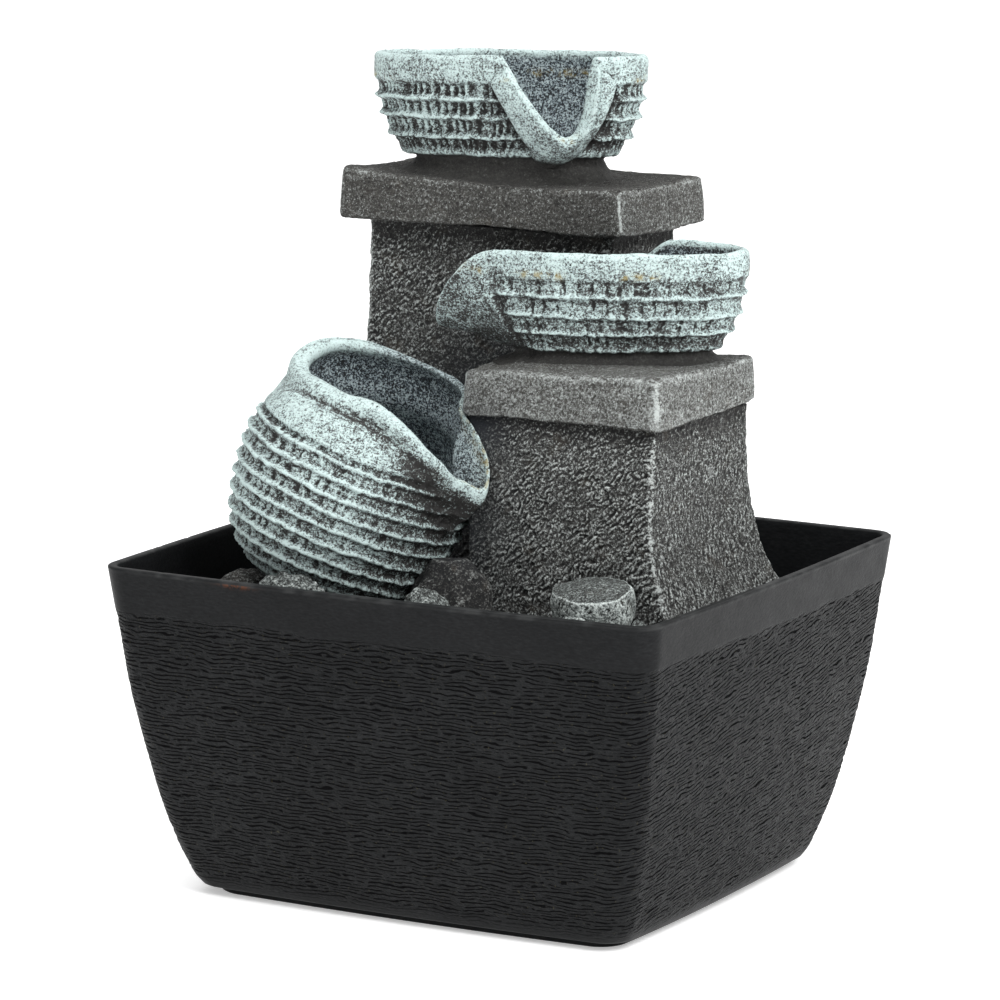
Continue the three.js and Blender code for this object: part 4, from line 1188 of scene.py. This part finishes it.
def jug_rows():
    """The jug's skin about its own centre, with each point's distance below the lip, height angle in
    radians, turn and kind of row (0 outside, 1 lip, 2 inside), and the neck's length at each turn."""
    right, far, up = jug_frame()
    columns = 600
    turn = -math.pi + np.arange(columns) / columns * TAU
    turn = turn - 0.72 * np.sin(turn)  # closer together at the pouring tip
    lip_angle, lip_distance = jug_rim(turn)
    lip = curve([(math.radians(a), r) for a, r in JUG["lip"]], turn)
    body, wall = JUG["radius"], JUG["wall"]
    span = 8.5 + 0.9 * np.abs(lip_distance - body)  # how far below the lip the neck starts
    around = np.cos(turn)[:, None] * right + np.sin(turn)[:, None] * far

    def points(angle, distance):
        return (np.cos(angle) * distance)[:, None] * around + (np.sin(angle) * distance)[:, None] * up

    def distance_at(angle, base, target):
        drop = (lip_angle - angle) * body
        full = 3.4 * smoothstep(math.radians(-10), math.radians(-48), angle)  # the belly sits full and low
        return base + full + (target - base) * smoothstep(span, 0, drop), drop

    rows = []

    def add_rows(shares, lowest, base, target, kind):
        for share in shares:
            angle = lowest + (lip_angle - lowest) * share
            distance, drop = distance_at(angle, base, target)
            rows.append((points(angle, distance), drop, angle, kind))

    add_rows(np.linspace(0, 1, 178), math.radians(-84), body, lip_distance, 0)
    out = points(lip_angle, np.ones(columns))
    over = -np.sin(lip_angle)[:, None] * around + np.cos(lip_angle)[:, None] * up
    centre = points(lip_angle, lip_distance - lip)
    for a in np.linspace(0, math.pi, 9)[1:-1]:
        rolled = centre + lip[:, None] * (math.cos(a) * out + math.sin(a) * over)
        rows.append((rolled, lip_angle * 0, lip_angle, 1))
    add_rows(np.linspace(1, 0, 34), math.radians(-76), body - wall, lip_distance - 2 * lip, 2)
    grid, drops, angles, kinds = (np.array(values) for values in zip(*rows))
    return grid, drops, angles, np.broadcast_to(turn, drops.shape), kinds[:, None], span


def jug_ridges(local, angle, turn):
    """The belly's hollows, lips, pads and how close under a lip each point lies."""
    mm_per_degree = math.radians(1) * JUG["radius"]
    level = np.degrees(angle) * mm_per_degree + 0.35 * layered(local, 15, 2, 301)
    along = turn * JUG["radius"]
    lips = [(JUG["first_lip"] - JUG["lip_pitch"] * k) * mm_per_degree for k in range(10)]
    hollow, lip, number, under = channels(level, [lips[0] + 3.2] + lips, along, 310)
    pad = pads(local, along, number, 5.0, 0.68, 320)
    plain = smoothstep(-1.9, -1.2, turn) * smoothstep(-0.4, 0.5, layered(local, 9, 2, 321) + 0.25)
    return hollow, lip, np.maximum(pad, 0.8 * plain), under


def jug_relief(local, at):
    """How far each point of the jug's skin is pushed out, in mm."""
    left_side = smoothstep(-1.2, -2.2, at.turn) + smoothstep(2.0, 2.6, at.turn)
    relief = at.clear * (0.6 * at.lip - 1.65 * at.hollow * (1 - (0.5 - 0.15 * left_side) * at.pad))
    rope = np.exp(-((at.drop - 1.2) / 2.4) ** 2) * 0.9
    groove = np.exp(-((at.drop - 6.4) / 2.0) ** 2) * (0.7 + 0.8 * at.near_side)
    relief += (rope - groove) * at.outside * (1 - 0.85 * at.to_tip)
    rough = layered(local, 16, 2, 331) * 0.4 + layered(local, 3, 2, 332) * 0.14
    rough += layered(local, 1.7, 2, 335) * 0.32 * at.clear * (at.hollow + at.lip)
    dents = smoothstep(0.45, 0.8, noise(local, 1.4, 333)) * 0.28
    return relief + rough - dents


def jug_paint(local, moved, at):
    """How much paint is left on the jug's outside: less in the hollows, with dark streaks below the rim
    towards the pouring tip. Painted shade darkens it under each lip, in the groove round the neck on its near
    side, low down and on the side facing the low pillar, and a painted highlight lightens the shoulder.
    """
    standing = np.clip(raised(moved, 8) / 0.35, -1.2, 1.0)
    along = at.turn * JUG["radius"]
    flat = np.stack([along, at.drop + 0 * along, 0 * along], -1)
    streaks = smoothstep(-0.35, 0.5, layered(flat, (9, 1.3, 9), 3, 341))
    # painted shade in the groove under the rim on the near side, broken into streaks; then dark streaks below
    # the rim towards the pouring tip
    neck = np.exp(-((at.drop - 6.8) / 2.6) ** 2) * at.near_side * (0.15 + 0.55 * streaks)
    neck += at.to_tip * smoothstep(1.0, 5.0, at.drop) * smoothstep(24, 10, at.drop) * (0.5 + 0.35 * streaks)
    murk = 0.52 * (0.8 + 0.7 * layered(local, 6, 2, 343))
    # painted shade just under each lip
    shade_under_lips = 0.3 * at.under * (0.7 + 0.9 * layered(local, 3, 2, 344)) * at.clear
    # painted highlight on the shoulder, where light falls from above
    shoulder_highlight = 0.06 * smoothstep(10, 25, np.degrees(at.angle)) * at.outside
    paint = 0.60 + 0.38 * standing + at.clear * (0.14 * at.lip - murk * at.hollow * (1 - 0.8 * at.pad))
    paint += layered(local, 12, 3, 342) * 0.18 - shade_under_lips + shoulder_highlight
    # painted shade low down and on the side facing the low pillar
    low_side_shade = smoothstep(120, 98, moved[..., 2]) * 0.26 + smoothstep(14, 36, local[..., 0]) * 0.22 * at.clear
    return np.clip(paint - (neck + low_side_shade) * at.outside, -0.3, 1.1)


def jug_layers(local, moved, at):
    """What the patina reads: the paint, the dark inside and far lip, the foot and the pouring tip."""
    far_lip = smoothstep(0.35, 0.8, at.turn) * smoothstep(2.7, 2.1, at.turn) * 0.75
    tip = np.exp(-(at.turn / 0.3) ** 2)
    pour = tip ** 3 * np.exp(-(at.drop / 2.5) ** 2) * (at.kind > 0)
    lit = 1 - 0.45 * tip ** 3 * smoothstep(16, 2, at.drop)
    inside = (at.kind == 2) * smoothstep(0.3, 3.0, at.drop) * lit
    return {
        "paint": jug_paint(local, moved, at),
        "inside": np.maximum(inside, far_lip * (at.drop < 3.5)),
        "foot": at.outside * smoothstep(104, 95, moved[..., 2]) * 0.5,
        "stain": pour * 0.8,
    }


def add_jug():
    local, drop, angle, turn, kind, span = jug_rows()
    at = SimpleNamespace(drop=drop, angle=angle, turn=turn, kind=kind)  # what is known about each point
    at.outside = (kind == 0) * np.ones(drop.shape)
    at.clear = smoothstep(span * 0.35, span * 0.95, drop) * at.outside
    at.hollow, at.lip, at.pad, at.under = jug_ridges(local, angle, turn)
    at.near_side = smoothstep(-2.7, -1.9, turn) * smoothstep(0.15, -0.1, turn)
    at.to_tip = smoothstep(-1.1, -0.25, turn) * smoothstep(0.9, 0.3, turn)
    moved = local + outward(local) * jug_relief(local, at)[..., None] + JUG["centre"]
    moved[..., 2] = np.maximum(moved[..., 2], BASE_TOP - 1.0)
    jug = skin("jug_cast", moved, "sculpture", PATINA, jug_layers(local, moved, at))
    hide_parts("jug")


# ---- Base and stones ----------------------------------------------------------------------


def base_relief(p):
    """Height of the rock base's skin at points p, and its fine part, in mm."""
    top = smoothstep(80, 91, p[:, 2])
    near, second = chips(p + layered(p, 12, 2, 401)[:, None] * 2, (15, 15, 11), 402)
    lumps = (0.8 - near) * 2.6 * top
    cracks = (smoothstep(0.0, 0.16, second - near) - 1) * (0.7 + 0.8 * top)
    fine = layered(p, 3.4, 3, 403) * 0.45 + ridged(p, 2.2, 404) * 0.18
    return lumps + cracks + layered(p, 20, 2, 405) * 0.9 + fine - 1.0, fine


def add_base():
    """The CAD base remeshed finely and given relief along its normals."""
    base = linked("rock_base_cast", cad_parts["rock_base"].data.copy())
    base.data.materials.clear()
    remesh = base.modifiers.new("fine", "REMESH")
    remesh.mode = "VOXEL"
    remesh.voxel_size = 1.25 * MM
    soften = base.modifiers.new("soft", "SMOOTH")
    soften.iterations = 6
    soften.factor = 0.5
    apply_modifiers(base)
    mesh = base.data
    count = len(mesh.vertices)
    points = np.zeros(count * 3)
    normals = np.zeros(count * 3)
    mesh.vertices.foreach_get("co", points)
    mesh.vertex_normals.foreach_get("vector", normals)
    points = points.reshape(-1, 3) / MM
    normals = normals.reshape(-1, 3)
    height, fine = base_relief(points)
    mesh.vertices.foreach_set("co", ((points + normals * height[:, None]) * MM).ravel())
    store_layers(mesh, {
        "fine": np.clip(fine / (fine.std() * 1.4 + 1e-9), -2, 2.5),
        "broad": np.clip(height / (height.std() * 1.4 + 1e-9), -2, 2.5),
        "edge": np.zeros(count),
        # painted shade in the recesses round the jug
        "recess_shade": painted_recess_shade(points) * 0.8,
        "pale": np.zeros(count),
    })
    mesh.update()
    mesh.shade_smooth()
    mesh.materials.append(ROCK)
    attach(base, "sculpture")
    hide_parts("rock_base")


# name: middle (x, y), top height, half sizes, turn, roughness, height of its flat top as a share of the half
# height, tilt of the flat, paleness
STONES = {
    "left_rock": ((-67, -48), 103.2, (12, 12, 12), 0.3, 1.6, 1.0, 0.0, -0.1),
    "pale_rock": ((-41, -64.0), 108.0, (14, 7.5, 14), -0.25, 2.6, 1.0, 0.0, -0.04),
    "rear_left_rock": ((-65, 1), 102.0, (8, 12, 9), 0.1, 1.0, 0.9, 0.0, -0.08),
    "dark_boulder": ((1, -38), 111.5, (15, 10, 19), 0.1, 0.4, 1.0, 0.0, -0.3),
    "front_pebble": ((4, -58), 105.8, (9, 7.5, 12), -0.1, 1.3, 1.0, 0.0, -0.16),
    "flat_stone": ((57.2, -47), 108.8, (13.4, 11.5, 14), -0.05, 0.55, 0.36, 0.16, 0.04),
    "small_pebble_1": ((58.5, -62.0), 103.2, (7.5, 3.6, 8), 0.0, 0.4, 1.0, 0.0, 0.0),
    "small_pebble_2": ((75.5, -51.5), 102.0, (3.6, 5, 9), 0.2, 0.4, 1.0, 0.0, -0.3),
}
PALE_STONES = ("pale_rock", "front_pebble", "flat_stone", "small_pebble_1", "small_pebble_2")


def add_stone(name, spec, seed):
    (x, y), top, half, turn, rough, flat, tilt, pale = spec
    lat = np.linspace(-math.pi / 2 + 0.02, math.pi / 2 - 0.02, 80)[:, None]
    lon = np.arange(130)[None, :] / 130 * TAU
    ball = np.stack([np.cos(lat) * np.cos(lon), np.cos(lat) * np.sin(lon), np.sin(lat) + 0 * lon], -1)
    lumpy = ball * (1 + 0.09 * layered(ball + seed, 0.9, 2, seed))[..., None]
    ceiling = flat + tilt * lumpy[..., 1]
    lumpy[..., 2] = np.minimum(lumpy[..., 2], ceiling + 0.12 * (lumpy[..., 2] - ceiling))
    shape = lumpy * np.array(half)
    shape = at_height(rotated(shape[..., :2], turn) + np.array([x, y]), shape[..., 2] + top - flat * half[2])
    n = outward(shape)
    side = smoothstep(0.8, 0.4, n[..., 2])
    pits = smoothstep(0.3, 0.7, noise(shape, 1.3, seed + 1)) * side * 0.5
    height = layered(shape, 5, 3, seed + 2) * 0.5 + ridged(shape, 6, seed + 3) * 0.3
    height *= 1 - 0.6 * (1 - side) * (flat < 0.7)
    moved = shape + n * ((height - pits) * rough)[..., None]
    moved[..., 2] = np.maximum(moved[..., 2], BASE_TOP - 3.0)
    edge = smoothstep(0.93, 0.8, n[..., 2]) * smoothstep(0.5, 0.75, n[..., 2]) * (flat < 0.7) * 0.6
    # painted shade in the recesses round the jug
    layers = wear_and_shade_layers(moved, edge, painted_recess_shade(moved) * 0.8, pale - 0.24 * (1 - side) * (flat < 0.7))
    slot, look = ("pebble_resin", PEBBLE) if name in PALE_STONES else ("rock_resin", ROCK)
    stone = skin(name + "_cast", moved, "sculpture", look, layers)
    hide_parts(name)


def add_stones():
    for k, (name, spec) in enumerate(STONES.items()):
        add_stone(name, spec, 500 + 20 * k)


# ---- Pump, tube and nozzle ----------------------------------------------------------------


def dress(node, material, bevel=0.4, angle=35):
    """Gives a CAD node its material, softened edges and smooth shading."""
    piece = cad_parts[node]
    piece.data.materials.clear()
    piece.data.materials.append(material)
    piece.data.shade_smooth()
    if bevel:
        modifier = piece.modifiers.new("edges", "BEVEL")
        modifier.width = bevel * MM
        modifier.segments = 2
        modifier.limit_method = "ANGLE"
        modifier.angle_limit = math.radians(angle)
        modifier.harden_normals = True
    weld = piece.modifiers.new("normals", "WEIGHTED_NORMAL")
    weld.keep_sharp = True


def dress_pump():
    black = plastic_look("pump_plastic", srgb(24, 25, 27), srgb(44, 45, 48), 0.38)
    rubber = plastic_look("rubber_black", srgb(30, 30, 31), srgb(52, 52, 53), 0.75, 0.6)
    epoxy = plastic_look("epoxy_black", srgb(14, 14, 15), srgb(30, 30, 32), 0.2, 2.0)
    white = plastic_look("white_plastic", srgb(214, 214, 208), srgb(232, 232, 227), 0.42)
    ferrite = plastic_look("ferrite", srgb(58, 60, 64), srgb(84, 86, 90), 0.5, 0.3)
    steel = metal_look("shaft_steel", srgb(170, 172, 175), srgb(212, 213, 215), 0.25, (1, 0.08, 1))
    core = metal_look("lamination_steel", srgb(90, 92, 96), srgb(140, 143, 147), 0.45, (0.05, 1.6, 0.05), 0.9)
    copper = metal_look("winding_copper", srgb(150, 74, 38), srgb(206, 124, 76), 0.35, (0.06, 1.8, 0.06))
    for node in ("pump_housing", "volute_cover", "intake_cover"):
        dress(node, black, 0.5)
    dress("outlet_nozzle", black, 0.2)
    for node in ("cord_gland", "tube_grommet", "inner_bushing", "outer_bushing"):
        dress(node, rubber, 0.15)
    for k in range(4):
        dress(f"suction_cup_{k + 1}", rubber, 0)
    dress("potting_plate", epoxy, 0.3)
    dress("impeller_vanes", white, 0.15)
    dress("flow_regulator", white, 0.3)
    dress("rotor_magnet", ferrite, 0.25)
    dress("rotor_shaft", steel, 0.15)
    dress("stator_core", core, 0.2)
    dress("stator_coil", copper, 1.4)
    dress("riser_tube", vinyl_look(), 0.2)


# ---- Stage --------------------------------------------------------------------------------


def add_stage():
    reach = 6000  # half its size in mm
    corners = [(-reach, -reach, 0), (reach, -reach, 0), (reach, reach, 0), (-reach, reach, 0)]
    floor = plain_mesh("floor", corners, [(0, 1, 2, 3)])
    white = srgb(250, 250, 250)
    look = Look("floor", roughness=0.9, Specular_IOR_Level=0.0, Emission_Strength=0.4, Emission_Color=white)
    cloud = look.span(look.grain(400, 2), 0.2, 0.8)
    floor.materials.append(look.finish(look.mix(cloud, srgb(246, 246, 246), white)))
    linked("floor", floor)
    add_world()
    bpy.context.scene.view_settings.view_transform = "Standard"


def add_world():
    """A white studio, dimmer in front and to the left than to the right and above."""
    world = bpy.data.worlds.new("studio")
    bpy.context.scene.world = world
    world.use_nodes = True
    nodes, links = world.node_tree.nodes, world.node_tree.links
    toward = nodes.new("ShaderNodeVectorMath")
    toward.operation = "DOT_PRODUCT"
    toward.inputs[1].default_value = Vector((0.75, 0.3, 0.6)).normalized()
    links.new(nodes.new("ShaderNodeTexCoord").outputs["Generated"], toward.inputs[0])
    level = nodes.new("ShaderNodeMapRange")
    level.inputs["From Min"].default_value = -0.7
    level.inputs["From Max"].default_value = 0.9
    level.inputs["To Min"].default_value = 0.34
    level.inputs["To Max"].default_value = 1.0
    links.new(toward.outputs["Value"], level.inputs["Value"])
    background = nodes["Background"]
    background.inputs["Color"].default_value = (1, 1, 1, 1)
    links.new(level.outputs["Result"], background.inputs["Strength"])


def add_light(name, place, aim, size, power):
    light = bpy.data.lights.new(name, "AREA")
    light.shape = "RECTANGLE"
    light.size, light.size_y = size
    light.energy = power
    lamp = linked(name, light)
    lamp.location = place
    lamp.rotation_euler = (Vector(aim) - Vector(place)).to_track_quat("-Z", "Y").to_euler()


def add_camera():
    azimuth, elevation, distance = math.radians(29.23), math.radians(10.63), 1.70024
    target = Vector((0, 0, 0.1236))
    toward = Vector((math.sin(azimuth) * math.cos(elevation), -math.cos(azimuth) * math.cos(elevation),
                     math.sin(elevation)))
    data = bpy.data.cameras.new("camera")
    data.sensor_width = 36
    data.lens = 191.55
    data.shift_x = -0.0051
    data.shift_y = 0.0013
    camera = linked("camera", data)
    camera.location = target + toward * distance
    camera.rotation_euler = toward.to_track_quat("Z", "Y").to_euler()
    bpy.context.scene.camera = camera


add_camera()
add_stage()
add_light("key", (1.3, -0.6, 1.3), (0, 0, 0.12), (0.8, 0.8), 24)
add_light("top", (-0.3, -0.3, 1.7), (0, 0, 0.1), (1.0, 1.0), 16)
add_tub()
add_tall_pillar()
add_low_pillar()
add_slab("tall_slab_cast", "tall_slab", TALL_SLAB, 601)
add_slab("low_slab_cast", "low_slab", LOW_SLAB, 641)
add_bowl("top_bowl_cast", "top_bowl", TOP_BOWL, 620, 201)
add_bowl("middle_bowl_cast", "middle_bowl", MIDDLE_BOWL, 560, 251)
add_jug()
add_base()
add_stones()
dress_pump()
